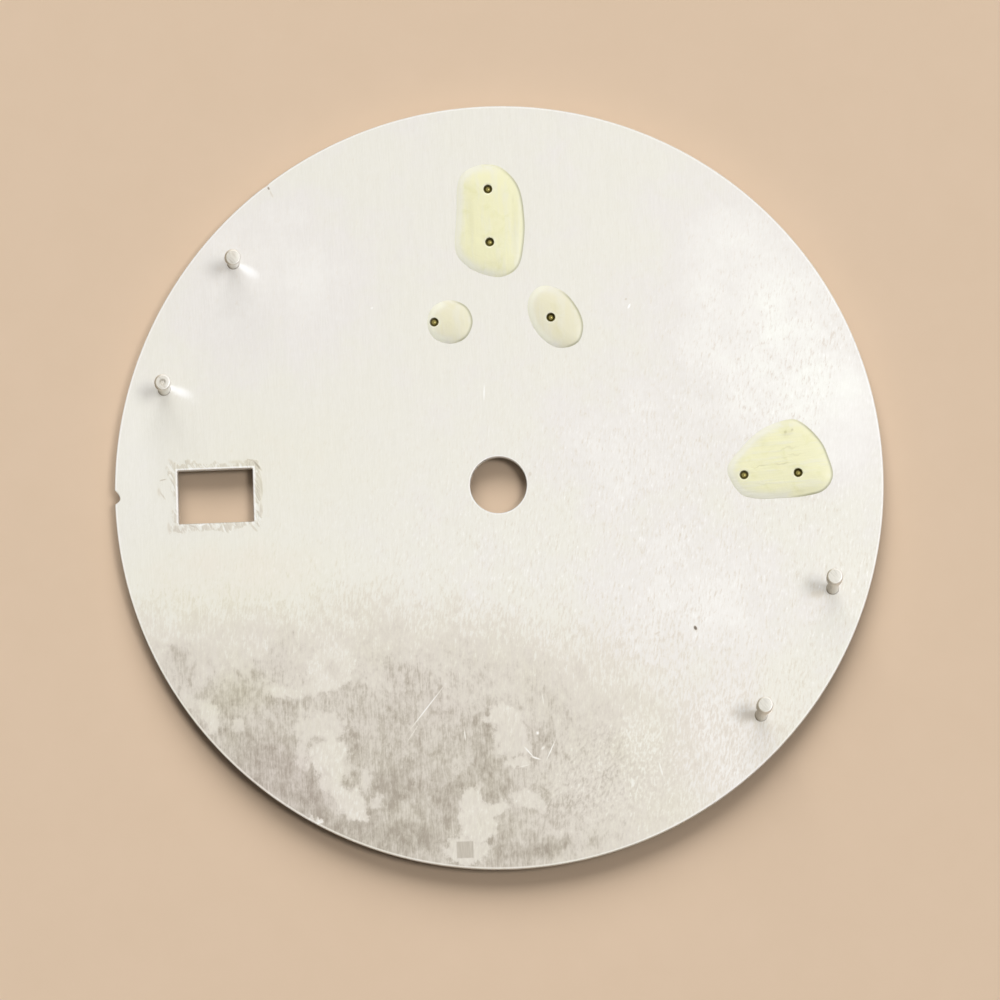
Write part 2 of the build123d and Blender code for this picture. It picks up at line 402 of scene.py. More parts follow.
class Painter:
    """Lays the nodes of one material, working in millimetres of the object."""

    def __init__(self, name: str) -> None:
        """Starts an empty material with its coordinates in millimetres.

        Args:
            name: The material's name.
        """
        self.material = bpy.data.materials.new(name)
        self.material.use_nodes = True
        self.tree = self.material.node_tree
        self.tree.nodes.clear()
        self.place = add_node(self.tree, "ShaderNodeTexCoord", output="Object") * (1 / MM, 1 / MM, 1 / MM)
        split = add_node(self.tree, "ShaderNodeSeparateXYZ", {0: self.place})
        self.across, self.along, self.up = (Value(socket) for socket in split.socket.node.outputs)

    def grain(
        self,
        size: float | Sequence[float],
        detail: float,
        roughness: float,
        distortion: float = 0.0,
        turn: float = 0.0,
        output: int = 0,
    ) -> Value:
        """Cloudy values from 0 to 1, about a half.

        Args:
            size: A swell's size in millimetres, one number or across, along and perhaps up.
            detail: How many finer layers it has.
            roughness: How strong each finer layer is.
            distortion: How far the swells are pulled about.
            turn: The angle in degrees that it is turned by.
            output: The noise's output, 0 for a number and 1 for a colour.

        Returns:
            The values.
        """
        scale = (size,) * 3 if isinstance(size, float) else (*size, 1.0)[:3]
        inputs = {"Vector": self.place, "Scale": scale, "Rotation": (0, 0, math.radians(turn))}
        place = add_node(self.tree, "ShaderNodeMapping", inputs, vector_type="TEXTURE")
        inputs = {"Vector": place, "Scale": 1.0, "Detail": detail, "Roughness": roughness, "Distortion": distortion}
        return add_node(self.tree, "ShaderNodeTexNoise", inputs, output)

    def patch(self, patch: Patch, level: object, place: Value | None = None, fray: object = 0.0) -> Value:
        """Lays one patch over a level.

        Args:
            patch: The patch.
            level: The level under it.
            place: The coordinates that it is laid in, the object's own if none are given.
            fray: What moves its edge in and out, as a share of its half size.

        Returns:
            The level with the patch.
        """
        inputs = {
            "Vector": place or self.place,
            "Location": (patch.x, patch.y, 0.0),
            "Rotation": (0.0, 0.0, math.radians(patch.turn)),
            "Scale": (patch.half_x, patch.half_y, 10.0),
        }
        oval = add_node(self.tree, "ShaderNodeMapping", inputs, vector_type="TEXTURE", label=patch.name)
        reach = oval.through(Work.LENGTH) + fray
        share = reach.through(Work.SOFT_STEP, 1.0, patch.core, 0.0, patch.strength)
        return share.through(Work.MIX, level, patch.level)

    def finish(self, relief: Value | None = None, depth: float = 0.0, **sockets: object) -> bpy.types.Material:
        """Ends the material in a Principled shader.

        Args:
            relief: The height of its surface, from 0 to 1, unless it is smooth.
            depth: What that height stands for, in millimetres.
            **sockets: The shader's inputs, with an underscore for each space.

        Returns:
            The material.
        """
        inputs = {name.replace("_", " "): value for name, value in sockets.items()}
        if relief:
            inputs["Normal"] = add_node(self.tree, "ShaderNodeBump", {"Height": relief, "Distance": depth * MM})
        shader = add_node(self.tree, "ShaderNodeBsdfPrincipled", inputs)
        add_node(self.tree, "ShaderNodeOutputMaterial", {"Surface": shader})
        return self.material


# Each patch has a name, its middle, its half sizes, its level, its strength, its turn in degrees,
# and the share of it that has full strength.
# The cloudy stains of the lower back as they lie on the object, those below first
STAINS = patches(
    ("olive shade", -9.56, -5.03, 2.3, 0.56, 0.26, 0.6, 0, 0.1),
    ("left rim shade", -12.00, -5.91, 0.74, 1.1, 0.66, 0.9, 20, 0.1),
    ("pale rim streak", -12.27, -5.19, 1, 0.3, 0.10, 0.6, 40, 0.2),
    ("shade beside", -10.96, -6.02, 0.97, 0.59, 0.44, 0.6, 0, 0.1),
    ("pale blot", -9.89, -6.21, 0.52, 0.48, 0.22, 0.8, 0, 0.3),
    ("streaked field", -8.19, -6.35, 1, 0.82, 0.44, 0.6, 0, 0.1),
    ("olive dark", -9.97, -7.51, 1.6, 0.67, 0.64, 0.85, -12, 0.3),
    ("olive dark low", -9.03, -8.25, 1.6, 0.48, 0.62, 0.8, -20, 0.3),
    ("pale rim", -11.75, -7.48, 0.26, 0.59, 0.32, 0.8, 35, 0.3),
    ("rim wedge", -10.99, -8.17, 0.41, 0.89, 0.20, 0.9, 24, 0.5),
    ("crescent", -10.42, -8.90, 0.33, 0.82, 0.66, 0.85, 10, 0.4),
    ("small blot", -9.85, -8.59, 0.37, 0.33, 0.34, 0.85, 0, 0.4),
    ("curl", -8.80, -8.15, 0.19, 0.48, 0.42, 0.6, 25, 0.3),
    ("smooth dark", -9.08, -9.95, 1.6, 1.2, 0.76, 0.95, -38, 0.65),
    ("smooth dark low", -7.72, -11.33, 1.3, 0.71, 0.80, 0.9, -35, 0.5),
    ("dark rim band", -5.73, -12.74, 1.9, 0.45, 0.80, 0.9, -20, 0.4),
    ("ring", -6.42, -6.57, 0.97, 0.97, 0.15, 0.92, 0, 0.74),
    ("ring middle", -6.35, -6.57, 0.33, 0.37, 0.44, 0.85, 0, 0.4),
    ("ring arm", -8.15, -7.36, 1, 0.3, 0.20, 0.88, -3, 0.45),
    ("arm root", -7.00, -7.29, 0.56, 0.33, 0.20, 0.85, 22, 0.4),
    ("right of ring", -5.26, -8.25, 1.1, 0.89, 0.56, 0.75, 0, 0.3),
    ("purple spot", -3.93, -6.18, 0.59, 0.59, 0.44, 0.8, 0, 0.2),
    ("pale spot", -4.77, -7.12, 0.48, 0.41, 0.20, 0.6, 0, 0.2),
    ("dark middle", -4.84, -9.19, 1, 1.6, 0.64, 0.8, 0, 0.4),
    ("dark middle low", -4.17, -11.03, 1.3, 0.89, 0.84, 0.9, 0, 0.4),
    ("streaks", -3.05, -9.55, 1, 1.9, 0.58, 0.7, 0, 0.3),
    ("left of scratch", -3.03, -7.89, 0.67, 0.52, 0.50, 0.7, 0, 0.2),
    ("grey field", -1.63, -8.05, 1, 1, 0.30, 0.6, 0, 0.1),
    ("cloud head", -6.90, -8.74, 1.3, 0.67, 0.28, 0.88, 0, 0.55),
    ("cloud left", -7.56, -9.71, 0.37, 0.89, 0.32, 0.8, 0, 0.3),
    ("cloud", -6.53, -9.86, 0.93, 1.1, 0.18, 0.95, 10, 0.62),
    ("cloud eye", -6.92, -9.26, 0.48, 0.26, 0.70, 0.92, 0, 0.2),
    ("cloud foot", -6.60, -10.93, 0.74, 0.45, 0.24, 0.9, -32, 0.45),
    ("cloud gap", -6.70, -10.49, 0.19, 0.37, 0.52, 0.8, 20, 0.3),
    ("cloud bite", -5.80, -10.15, 0.41, 0.48, 0.60, 0.85, 0, 0.4),
    ("tail", -5.88, -11.55, 0.93, 0.63, 0.18, 0.92, -42, 0.5),
    ("tail end", -5.49, -12.05, 0.48, 0.3, 0.18, 0.92, -10, 0.5),
    ("plume", -5.30, -10.76, 0.26, 0.63, 0.28, 0.85, -14, 0.3),
    ("plume right", -4.85, -11.63, 0.33, 0.37, 0.32, 0.85, 0, 0.35),
    ("plume gap", -5.25, -11.50, 0.093, 0.52, 0.58, 0.85, 8, 0.3),
    ("dots", -3.82, -11.78, 0.33, 0.22, 0.42, 0.6, 0, 0.2),
    ("pocket", -6.78, -11.96, 0.45, 0.41, 0.92, 0.92, 0, 0.3),
    ("rim spot", -7.04, -12.17, 0.19, 0.15, -0.05, 0.9, 0, 0.4),
    ("rim spot left", -7.34, -12.09, 0.13, 0.11, 0.28, 0.8, 0, 0.4),
    ("dark low", -3.90, -12.96, 1.6, 0.78, 0.88, 0.92, 0, 0.4),
    ("left of band", -2.25, -12.21, 0.41, 1.1, 0.82, 0.92, -8, 0.5),
    ("wisp", -1.74, -10.34, 0.67, 0.37, 0.44, 0.7, 40, 0.2),
    ("dark between", -0.68, -10.42, 0.45, 1.2, 0.76, 0.9, 20, 0.45),
    ("dark bend", -0.11, -11.11, 0.52, 0.45, 0.74, 0.9, 0, 0.4),
    ("right of bend", 0.79, -10.74, 0.67, 0.3, 0.58, 0.8, 8, 0.2),
    ("hand top", -0.06, -8.60, 0.93, 0.45, 0.20, 0.92, -4, 0.55),
    ("hand", 0.13, -9.42, 0.82, 1, 0.28, 0.88, 14, 0.6),
    ("hand rim", 0.39, -10.39, 0.71, 0.22, 0.20, 0.85, 6, 0.3),
    ("hand dark", 0.91, -9.45, 0.3, 0.22, 0.58, 0.8, 0, 0.3),
    ("beside hand", 1.71, -8.74, 0.52, 0.74, 0.46, 0.7, 0, 0.2),
    ("band head", -1.42, -11.61, 0.48, 0.59, 0.26, 0.93, 0, 0.6),
    ("band", -1.15, -12.43, 0.82, 0.89, 0.26, 0.95, 0, 0.66),
    ("band foot", -1.63, -13.48, 0.93, 0.63, 0.28, 0.95, 0, 0.66),
    ("band side", -0.47, -11.98, 0.59, 0.33, 0.28, 0.93, 35, 0.6),
    ("arch", 0.68, -11.77, 0.82, 0.37, 0.22, 0.9, -12, 0.5),
    ("arch end", 1.18, -12.04, 0.3, 0.3, 0.34, 0.8, 0, 0.3),
    ("wedge top", 0.10, -12.55, 0.56, 0.41, 0.72, 0.92, 42, 0.5),
    ("wedge", -0.15, -13.39, 0.74, 0.59, 0.76, 0.92, 30, 0.5),
    ("grey specks", 0.76, -12.54, 0.41, 0.37, 0.48, 0.75, 0, 0.2),
    ("dark low right", 1.28, -13.52, 1.6, 0.48, 0.98, 0.92, 7, 0.15),
    ("pale low right", 1.81, -12.95, 0.74, 0.22, 0.34, 0.75, 4, 0.3),
    ("dark right", 2.97, -13.36, 0.97, 0.3, 0.68, 0.8, 12, 0.2),
    ("dark far right", 4.09, -13.15, 0.48, 0.19, 0.56, 0.75, 14, 0.2),
    ("speckled dark", 2.29, -12.08, 0.74, 0.59, 0.56, 0.7, 0, 0.2),
    ("mottled field", 2.33, -10.98, 1.6, 0.97, 0.34, 0.6, 0, 0.1),
    ("column low", 3.65, -11.03, 0.45, 1.3, 0.46, 0.65, 0, 0.2),
    ("column", 3.59, -8.70, 0.37, 0.97, 0.40, 0.7, 0, 0.2),
    ("green field", 5.07, -9.61, 1.1, 1.3, 0.13, 0.85, 0, 0.5),
    ("grey mottles", 0.69, -6.36, 1, 0.59, 0.26, 0.6, 0, 0.1),
    ("pink mottle", 2.76, -7.11, 0.3, 0.48, 0.42, 0.6, 0, 0.2),
    ("low mottles", -0.21, -7.63, 1.2, 0.48, 0.22, 0.65, 0, 0.1),
    ("rim tint", 5.57, -12.80, 0.89, 0.33, 0.34, 0.7, 28, 0.2),
    ("faint tint", 6.93, -10.93, 0.52, 0.52, 0.16, 0.5, 0, 0.1),
)
# Where the plating looks cool and white (0), neutral (0.5) or olive (1)
CASTS = patches(
    ("cool upper left", -8.23, 8.02, 5.6, 4.8, 0.22, 0.85, 0, 0.2),
    ("olive left", -8.45, 1.08, 5.9, 3.3, 0.85, 0.85, 0, 0.2),
    ("warm low left", -10.06, -2.97, 7.1, 2.4, 1.00, 0.9, 0, 0.2),
    ("cool right", 9.40, 6.54, 5.2, 7.8, 0.14, 0.9, 0, 0.2),
    ("white by nine", 11.86, 3.25, 4.5, 5.6, 0.00, 0.85, 0, 0.1),
    ("cool middle", 4.92, 1.10, 4.5, 4.1, 0.25, 0.85, 0, 0.3),
    ("cool low right", 6.92, -4.57, 6.3, 4.5, 0.20, 0.85, 0, 0.2),
    ("green left stain", -9.82, -7.44, 2.2, 1.3, 0.95, 0.7, 0, 0.1),
    ("green right stain", 4.96, -9.60, 1.6, 2, 0.60, 0.9, 0, 0.3),
    ("cool by foot at seven", 7.89, -9.97, 2.6, 3.3, 0.15, 0.8, 0, 0.2),
    ("rosy dark stain", -8.07, -10.84, 3, 1.7, 0.10, 0.9, -38, 0.3),
    ("rosy low stain", -3.17, -7.88, 3.3, 2.2, 0.30, 0.6, 0, 0.1),
)
# Single scratches, strokes and specks; painted light that two feet throw back on the plate; painted shadow beside
# four feet; painted light towards three and nine
MARKS = patches(
    ("long scratch", -2.93, -8.19, 1.4, 0.037, -0.20, 0.95, 50.2, 0.2),
    ("short scratch", -3.47, -9.09, 0.48, 0.03, -0.10, 0.6, 55, 0.2),
    ("hair left", 0.78, -9.96, 0.37, 0.037, -0.27, 0.9, -50, 0.3),
    ("hair bowl", 1.03, -10.19, 0.26, 0.048, -0.27, 0.9, -20, 0.3),
    ("hair right", 1.59, -9.92, 0.56, 0.03, -0.30, 0.85, 64, 0.3),
    ("hair low", 0.58, -10.47, 0.33, 0.037, -0.10, 0.6, 12, 0.3),
    ("bright dot", 1.12, -9.27, 0.089, 0.1, -0.34, 0.9, 0, 0.2),
    ("dot in hand", 1.30, -9.83, 0.13, 0.074, -0.15, 0.7, 40, 0.3),
    ("hair upright", 1.36, -8.02, 0.033, 0.33, -0.20, 0.7, 8, 0.3),
    ("bright left of hand", -1.56, -9.24, 0.037, 0.26, -0.25, 0.8, 4, 0.3),
    ("hair by rim", 5.61, -10.77, 0.045, 0.45, -0.25, 0.8, 14, 0.3),
    ("hair upper", 4.45, -9.44, 0.026, 0.37, -0.10, 0.5, 20, 0.3),
    ("dots right", 4.56, -11.25, 0.097, 0.19, -0.20, 0.8, 0, 0.3),
    ("white stroke", -0.41, 3.45, 0.033, 0.52, -0.40, 0.8, -3, 0.2),
    ("stroke above hole", -0.28, 2.06, 0.033, 0.45, -0.20, 0.6, -4, 0.2),
    ("fleck left", -4.47, 6.81, 0.093, 0.067, -0.35, 0.6, 20, 0.3),
    ("fleck right", 5.09, 6.49, 0.059, 0.15, -0.45, 0.8, -28, 0.3),
    ("speck right", 4.98, 6.76, 0.052, 0.067, 0.50, 0.7, -30, 0.3),
    ("right stroke", 9.78, -5.05, 0.048, 0.45, -0.20, 0.6, -6, 0.2),
    ("speck by hole", 1.19, 0.36, 0.093, 0.11, 0.35, 0.6, 0, 0.3),
    ("faint smear", 5.69, -5.74, 0.15, 0.059, 0.40, 0.7, 30, 0.2),
    ("faint smear right", 6.20, -5.91, 0.3, 0.037, 0.22, 0.6, 4, 0.2),
    ("dark speck", 7.08, -5.61, 0.071, 0.11, 2.40, 0.9, 24, 0.4),
    ("rim speck", -8.18, 11.48, 0.052, 0.082, 1.50, 0.8, 20, 0.3),
    ("rim trail", -8.08, 11.26, 0.048, 0.17, 0.45, 0.7, 22, 0.2),
    # Painted light: pale streaks and a glow on the plate, standing for light thrown back by the feet at one and two
    ("light from foot at one", -9.01, 8.39, 0.56, 0.26, -0.52, 1, -33, 0),
    ("light near foot at one", -9.26, 8.56, 0.26, 0.17, -0.52, 0.9, -28, 0),
    ("glow at one", -8.90, 8.28, 0.74, 0.45, -0.25, 0.6, -36, 0),
    ("light from foot at two", -11.68, 3.95, 0.56, 0.26, -0.52, 1, -24, 0),
    ("light near foot at two", -12.01, 4.11, 0.26, 0.17, -0.52, 0.9, -20, 0),
    ("glow at two", -11.46, 3.83, 0.82, 0.48, -0.25, 0.6, -25, 0),
    # Painted shadow: darker brownish ovals on the plate beside each foot, on the side away from the lamp at nine
    ("painted shadow by foot at eight", 11.61, -4.53, 0.56, 0.3, 0.30, 0.75, 4, 0),
    ("painted shadow by foot at seven", 8.92, -8.94, 0.56, 0.3, 0.34, 0.8, 4, 0),
    ("painted shadow by foot at one", -10.01, 8.51, 0.37, 0.3, 0.16, 0.6, 0, 0),
    ("painted shadow by foot at two", -12.76, 3.92, 0.37, 0.3, 0.16, 0.6, 0, 0),
    # Painted light: broad paler ovals towards the rim at three and at nine
    ("painted light by three", -13.44, 2.22, 1.9, 5.9, -0.13, 0.85, 0, 0),
    ("painted light by nine", 13.36, 1.13, 2, 4.1, -0.14, 0.85, 0, 0),
    ("scrape corner", -8.93, 1.10, 0.35, 0.059, 1.00, 0.9, -52, 0.2),
    ("shade in corner", -9.19, 1.15, 0.37, 0.19, 0.50, 0.6, 0, 0.1),
    ("shade on top", -9.71, 1.24, 0.45, 0.13, 0.34, 0.5, 0, 0.1),
    ("shade right", -8.88, 0.24, 0.17, 0.89, 0.46, 0.65, 0, 0.1),
    ("scrape corner top", -9.15, 1.29, 0.22, 0.037, 0.60, 0.8, -20, 0.2),
    ("scrape right", -8.79, 0.31, 0.059, 0.45, 0.52, 0.7, 4, 0.2),
    ("scrape right low", -8.83, -0.59, 0.089, 0.33, 0.55, 0.7, 0, 0.2),
    ("scrape left", -12.44, 0.68, 0.19, 0.037, 0.75, 0.85, 12, 0.2),
    ("scrape left bend", -12.49, 0.12, 0.32, 0.041, 0.60, 0.8, -55, 0.2),
    ("scrape left soft", -12.60, 0.24, 0.13, 0.3, 0.34, 0.6, 0, 0.1),
    ("scrape low", -11.38, -1.10, 0.28, 0.041, 0.65, 0.85, -24, 0.2),
    ("scrape low light", -11.00, -1.04, 0.3, 0.059, -0.35, 0.8, 18, 0.2),
    ("scrape low right", -9.11, -1.25, 0.26, 0.059, 0.52, 0.8, -50, 0.2),
    ("shade low left", -12.27, -1.12, 0.11, 0.33, 0.34, 0.7, 6, 0.1),
    ("shade upper left", -12.12, 1.34, 0.11, 0.26, 0.30, 0.7, 40, 0.1),
)


@dataclass(frozen=True)
class BrushedNickel:
    """Brass sheet with a nickel plating, brushed towards twelve o'clock and stained with age.

    Nickel plating is warm and nearly white, and brushing leaves fine upright streaks that blur
    what it reflects. Old water and flux leave a taupe tarnish with paler, cloudy islands. The
    real brush lines are finer than a picture shows, so these are drawn 0.055 mm wide.
    """

    name: str = "brushed_nickel_plating"
    clean: Stops = (
        (0.0, "#efefea"), (0.14, "#eae8e4"), (0.34, "#e4e1dd"), (0.5, "#e4e2da"), (0.8, "#e4e2d8"), (1.0, "#e4e0d5")
    )
    aged: Stops = ((0.0, "#e3dfd6"), (0.22, "#dcd7cd"), (0.50, "#d5cfc6"), (0.78, "#c0b9ad"), (1.0, "#aba296"))
    tint: Stops = ((0.1, "#fffdff"), (0.5, "#fffffe"), (1.0, "#fcfdf4"))
    streak_size: Point = (0.055, 0.75)
    coarse_streak_size: Point = (0.20, 2.6)
    fleck_size: Point = (0.085, 0.36)
    mottle_size: Point = (0.24, 0.36)
    cloud_size: float = 1.6
    cast_size: float = 1.9
    pull_size: Point = (0.55, 0.75)
    wisp_size: Point = (0.42, 0.70)
    speckle_size: Point = (0.06, 0.17)
    crackle_size: Point = (0.09, 0.19)
    ragged_size: Point = (0.75, 0.75)
    stroke_size: Point = (0.16, 0.52)
    tarnish_height: float = -2.7
    tarnish_drop: float = 0.13
    tarnish_from: float = -4.0
    tarnish_depth: float = 6.6
    crackle: Patch = Patch("crackle", 3.7, -10.9, 3.8, 2.9, 0.36, 1.0, 15, 0.2)
    window_centre: Point = (-10.5, 0.0)
    window_half: Point = (1.4, 1.0)
    scrape_width: float = 0.29
    square_centre: Point = (-1.70, -13.47)
    square_half: Point = (0.30, 0.30)
    rim_radius: float = 14.25
    hole_radius: float = 1.05
    roughness: float = 0.57
    most_roughness: float = 0.65
    stain_group: int = 25
    nudge: float = 1e-6

    def material(self) -> bpy.types.Material:
        """Lays the nodes.

        Returns:
            The material.
        """
        paint = Painter(self.name)
        streaks = self.streaks(paint)
        mottle = paint.grain(self.mottle_size, 4.0, 0.68).through(Work.SOFT_STEP, 0.3, 0.7)
        cast = 0.5
        for broad in CASTS:
            cast = paint.patch(broad, cast)
        cast = paint.grain(self.cast_size, 4.0, 0.6).sway(0.6, cast)
        tarnish = self.stained(paint, self.tarnish(paint, streaks, mottle), streaks, mottle)
        scrape, strokes = self.scrape(paint)
        tarnish = self.marks(paint, scrape.through(Work.MIX, tarnish, strokes * 0.62 - 0.16))
        clean, aged, tint = (
            add_node(paint.tree, "ShaderNodeValToRGB", {"Fac": value}, stops=stops)
            for value, stops in ((cast, self.clean), (tarnish, self.aged), (cast, self.tint))
        )
        colour = tarnish.through(Work.SOFT_STEP, 0.0, 0.2).through(Work.BLEND, clean, aged * tint)
        # Below zero the level blends to white: pale scratches and flecks, and the painted light and painted
        # highlights
        colour = tarnish.through(Work.SOFT_STEP, 0.0, -0.5).through(Work.BLEND, colour, "#ffffff")
        colour = tarnish.through(Work.SOFT_STEP, 1.1, 3.0).through(Work.BLEND, colour, "#4c443a")
        colour = tarnish.through(Work.SOFT_STEP, 0.05, 0.8, 0.11, 0.28).through(Work.SOFT_LIGHT, colour, streaks)
        return paint.finish(
            scrape * 0.7 * strokes + streaks * 0.12,
            depth=0.012,
            Base_Color=colour,
            # Metallic drops where the level falls below zero, so that pale marks, painted light and painted
            # highlights render white
            Metallic=tarnish.through(Work.SOFT_STEP, -0.65, -0.15, 0.1, 0.65),
            Roughness=(tarnish * 0.06 + self.roughness).through(Work.MINIMUM, self.most_roughness),
        )

    def streaks(self, paint: Painter) -> Value:
        """Mixes fine and coarse upright streaks.

        Args:
            paint: The painter.

        Returns:
            The streaks, from 0 to 1.
        """
        fine = paint.grain(self.streak_size, 2.0, 0.65, turn=1.5)
        coarse = paint.grain(self.coarse_streak_size, 2.0, 0.5, turn=-1.0)
        return ((coarse - fine) * 0.35 + fine).through(Work.SOFT_STEP, 0.25, 0.75)

    def tarnish(self, paint: Painter, streaks: Value, mottle: Value) -> Value:
        """How tarnished each place is, before the stains.

        The tarnish sets in slowly below a line that drops towards nine o'clock, and it is
        weaker on that side. Its onset is feathered by the brush lines.

        Args:
            paint: The painter.
            streaks: The brush lines.
            mottle: The fine mottle.

        Returns:
            The tarnish, from 0 to 1.
        """
        cloud = paint.grain(self.cloud_size, 5.0, 0.6, 0.4)
        beyond = (paint.across - self.tarnish_from).through(Work.MAXIMUM, 0.0)
        below = (beyond * self.tarnish_drop + paint.along) * -1.0 + self.tarnish_height
        below = mottle.sway(0.6, streaks.sway(0.9, cloud.sway(2.4, below)))
        towards_three = paint.across.through(Work.SOFT_STEP, -2.0, 8.5, 0.72, 0.12)
        level = below.through(Work.SOFT_STEP, 0.0, self.tarnish_depth) * towards_three
        return (cloud - 0.5) * level * 0.9 + level

    def stained(self, paint: Painter, level: Value, streaks: Value, mottle: Value) -> Value:
        """Lays the stains over a tarnish level, with frayed edges, and a fine grain over all.

        A shader has room for few values at once. The stains are laid in groups, and each group
        reads its place from a sum with the level before it, a millionth off, so it has to wait.

        Args:
            paint: The painter.
            level: The tarnish.
            streaks: The brush lines.
            mottle: The fine mottle.

        Returns:
            The level with stains and grain.
        """
        pull = paint.grain(self.pull_size, 4.0, 0.60, output=1) - (0.5, 0.5, 0.5)
        place = pull * (0.75, 0.9, 0.0) + paint.place
        fray = mottle.sway(0.24)
        for index, stain in enumerate(STAINS):
            if (index + 1) % self.stain_group == 0:
                place = place + level * self.nudge
            level = paint.patch(stain, level, place, fray)
        wisps = paint.grain(self.wisp_size, 5.0, 0.70, 0.5, 8)
        speckle = paint.grain(self.speckle_size, 3.0, 0.7, turn=4)
        grain = streaks.sway(1.05, mottle.sway(0.34, wisps.sway(1.7, speckle.sway(0.4))))
        level = grain * level.through(Work.SOFT_STEP, 0.0, 0.60, 0.07, 0.54) + level
        brushed = paint.grain(self.fleck_size, 3.0, 0.72, turn=-11)
        share = (paint.across * 0.6 - paint.along).through(Work.SOFT_STEP, -8.0, 5.0, 0.3, 1.0)
        share = share * wisps.through(Work.SOFT_STEP, 0.35, 0.6, 0.55, 1.2)
        level = (brushed - 0.5) * (share * level.through(Work.SOFT_STEP, 0.1, 0.5, 1.0, 0.45)) + level
        flecks = paint.grain(self.crackle_size, 2.0, 0.6, turn=-22).through(Work.SOFT_STEP, 0.66, 0.36, -0.5, 0.5)
        return flecks * paint.patch(self.crackle, 0.06, place) + level

    def box_gap(self, paint: Painter, centre: Point, half: Point) -> Value:
        """How far each place lies outside a box, in millimetres."""
        beside = (paint.across - centre[0]).through(Work.ABSOLUTE) - half[0]
        return beside.through(Work.MAXIMUM, (paint.along - centre[1]).through(Work.ABSOLUTE) - half[1])

    def scrape(self, paint: Painter) -> tuple[Value, Value]:
        """The ragged band that deburring left round the window, and the strokes in it.

        Args:
            paint: The painter.

        Returns:
            The band's share and the strokes, each from 0 to 1.
        """
        reach = paint.grain(self.ragged_size, 3.0, 0.6, turn=40).sway(0.85, self.scrape_width)
        gap = self.box_gap(paint, self.window_centre, self.window_half)
        strokes = paint.grain(self.stroke_size, 3.0, 0.55, 1.6, 24).through(Work.SOFT_STEP, 0.36, 0.62)
        return (reach - gap).through(Work.SOFT_STEP, -0.03, 0.09, 0.0, 0.9), strokes

    def marks(self, paint: Painter, level: Value) -> Value:
        """Lays the scratches and specks, a painted highlight along the edges of the window, the rim and the centre
        hole, and one dark square stain.

        Args:
            paint: The painter.
            level: The level under them.

        Returns:
            The level with them.
        """
        for mark in MARKS:
            level = paint.patch(mark, level)
        square = self.box_gap(paint, self.square_centre, self.square_half)
        level = square.through(Work.SOFT_STEP, 0.04, -0.02, 0.0, 0.9).through(Work.MIX, level, 0.78)
        # Painted highlight: a pale line just inside each rounded edge of the window, the rim and the centre hole
        window = self.box_gap(paint, self.window_centre, self.window_half)
        window_highlight = window.through(Work.SOFT_STEP, 0.095, 0.06, 0.0, 0.8)
        window_highlight = window_highlight * paint.along.through(Work.SOFT_STEP, -0.97, -0.93, 0.25, 1.0)
        reach = (paint.place * (1.0, 1.0, 0.0)).through(Work.LENGTH)
        rim = reach.through(Work.SOFT_STEP, self.rim_radius - 0.10, self.rim_radius - 0.05, 0.0, 0.6)
        hole_highlight = reach.through(Work.SOFT_STEP, self.hole_radius + 0.07, self.hole_radius + 0.04, 0.0, 0.7)
        edge = window_highlight.through(Work.MAXIMUM, hole_highlight).through(Work.MAXIMUM, rim)
        return edge.through(Work.MIX, level, -0.35)


@dataclass(frozen=True)
class CutWire:
    """Plated wire, cut to length: drawn lines along it and cutter marks across its end.

    The drawn surface and the end are painted lighter towards nine o'clock, where the lamp
    falls, and painted darker as shade on the other side. The end is rougher and paler, and the
    weld has a dark line of scale.
    """

    name: str = "plated_wire_cut_end"
    end_light: str = "#e2ded4"
    end_dark: str = "#d3cdc1"
    # Painted shade to painted light round the wire, from the side away from nine o'clock to the side towards it
    wall: Stops = ((0.0, "#b5ac99"), (0.35, "#ebe6da"), (0.6, "#f5f2e9"), (1.0, "#fcfaf5"))
    line_size: tuple[float, float, float] = (0.03, 0.03, 0.8)
    cut_size: Point = (0.30, 0.06)
    cut_turn: float = -48.0
    weld_height: float = 0.035
    metallic: float = 0.5
    wall_roughness: float = 0.42
    end_roughness: float = 0.60

    def material(self) -> bpy.types.Material:
        """Lays the nodes.

        Returns:
            The material.
        """
        paint = Painter(self.name)
        lines = paint.grain(self.line_size, 2.0, 0.5)
        cuts = paint.grain(self.cut_size, 2.0, 0.5, turn=self.cut_turn)
        end, side = (
            add_node(paint.tree, "ShaderNodeAttribute", output="Fac", attribute_name=name)
            for name in ("cut_end", "towards_nine")
        )
        side = lines.sway(0.5, side)
        cut = cuts.through(Work.SOFT_STEP, 0.30, 0.62).through(Work.BLEND, self.end_dark, self.end_light)
        # Painted highlight on the end, towards nine o'clock
        cut = side.through(Work.SOFT_STEP, 0.0, 0.9, 0.0, 0.7).through(Work.BLEND, cut, "#f3f1ea")
        painted_light_share = side.through(Work.SOFT_STEP, -1.0, 1.0)
        wall = add_node(paint.tree, "ShaderNodeValToRGB", {"Fac": painted_light_share}, stops=self.wall)
        colour = end.through(Work.BLEND, wall, cut)
        weld = paint.up.through(Work.SOFT_STEP, self.weld_height, self.weld_height * 0.4, 0.0, 0.45)
        return paint.finish(
            end.through(Work.MIX, lines * 0.3, cuts),
            depth=0.003,
            Base_Color=weld.through(Work.BLEND, colour, "#6d6456"),
            Metallic=self.metallic,
            Roughness=end.through(Work.MIX, self.wall_roughness, self.end_roughness),
        )


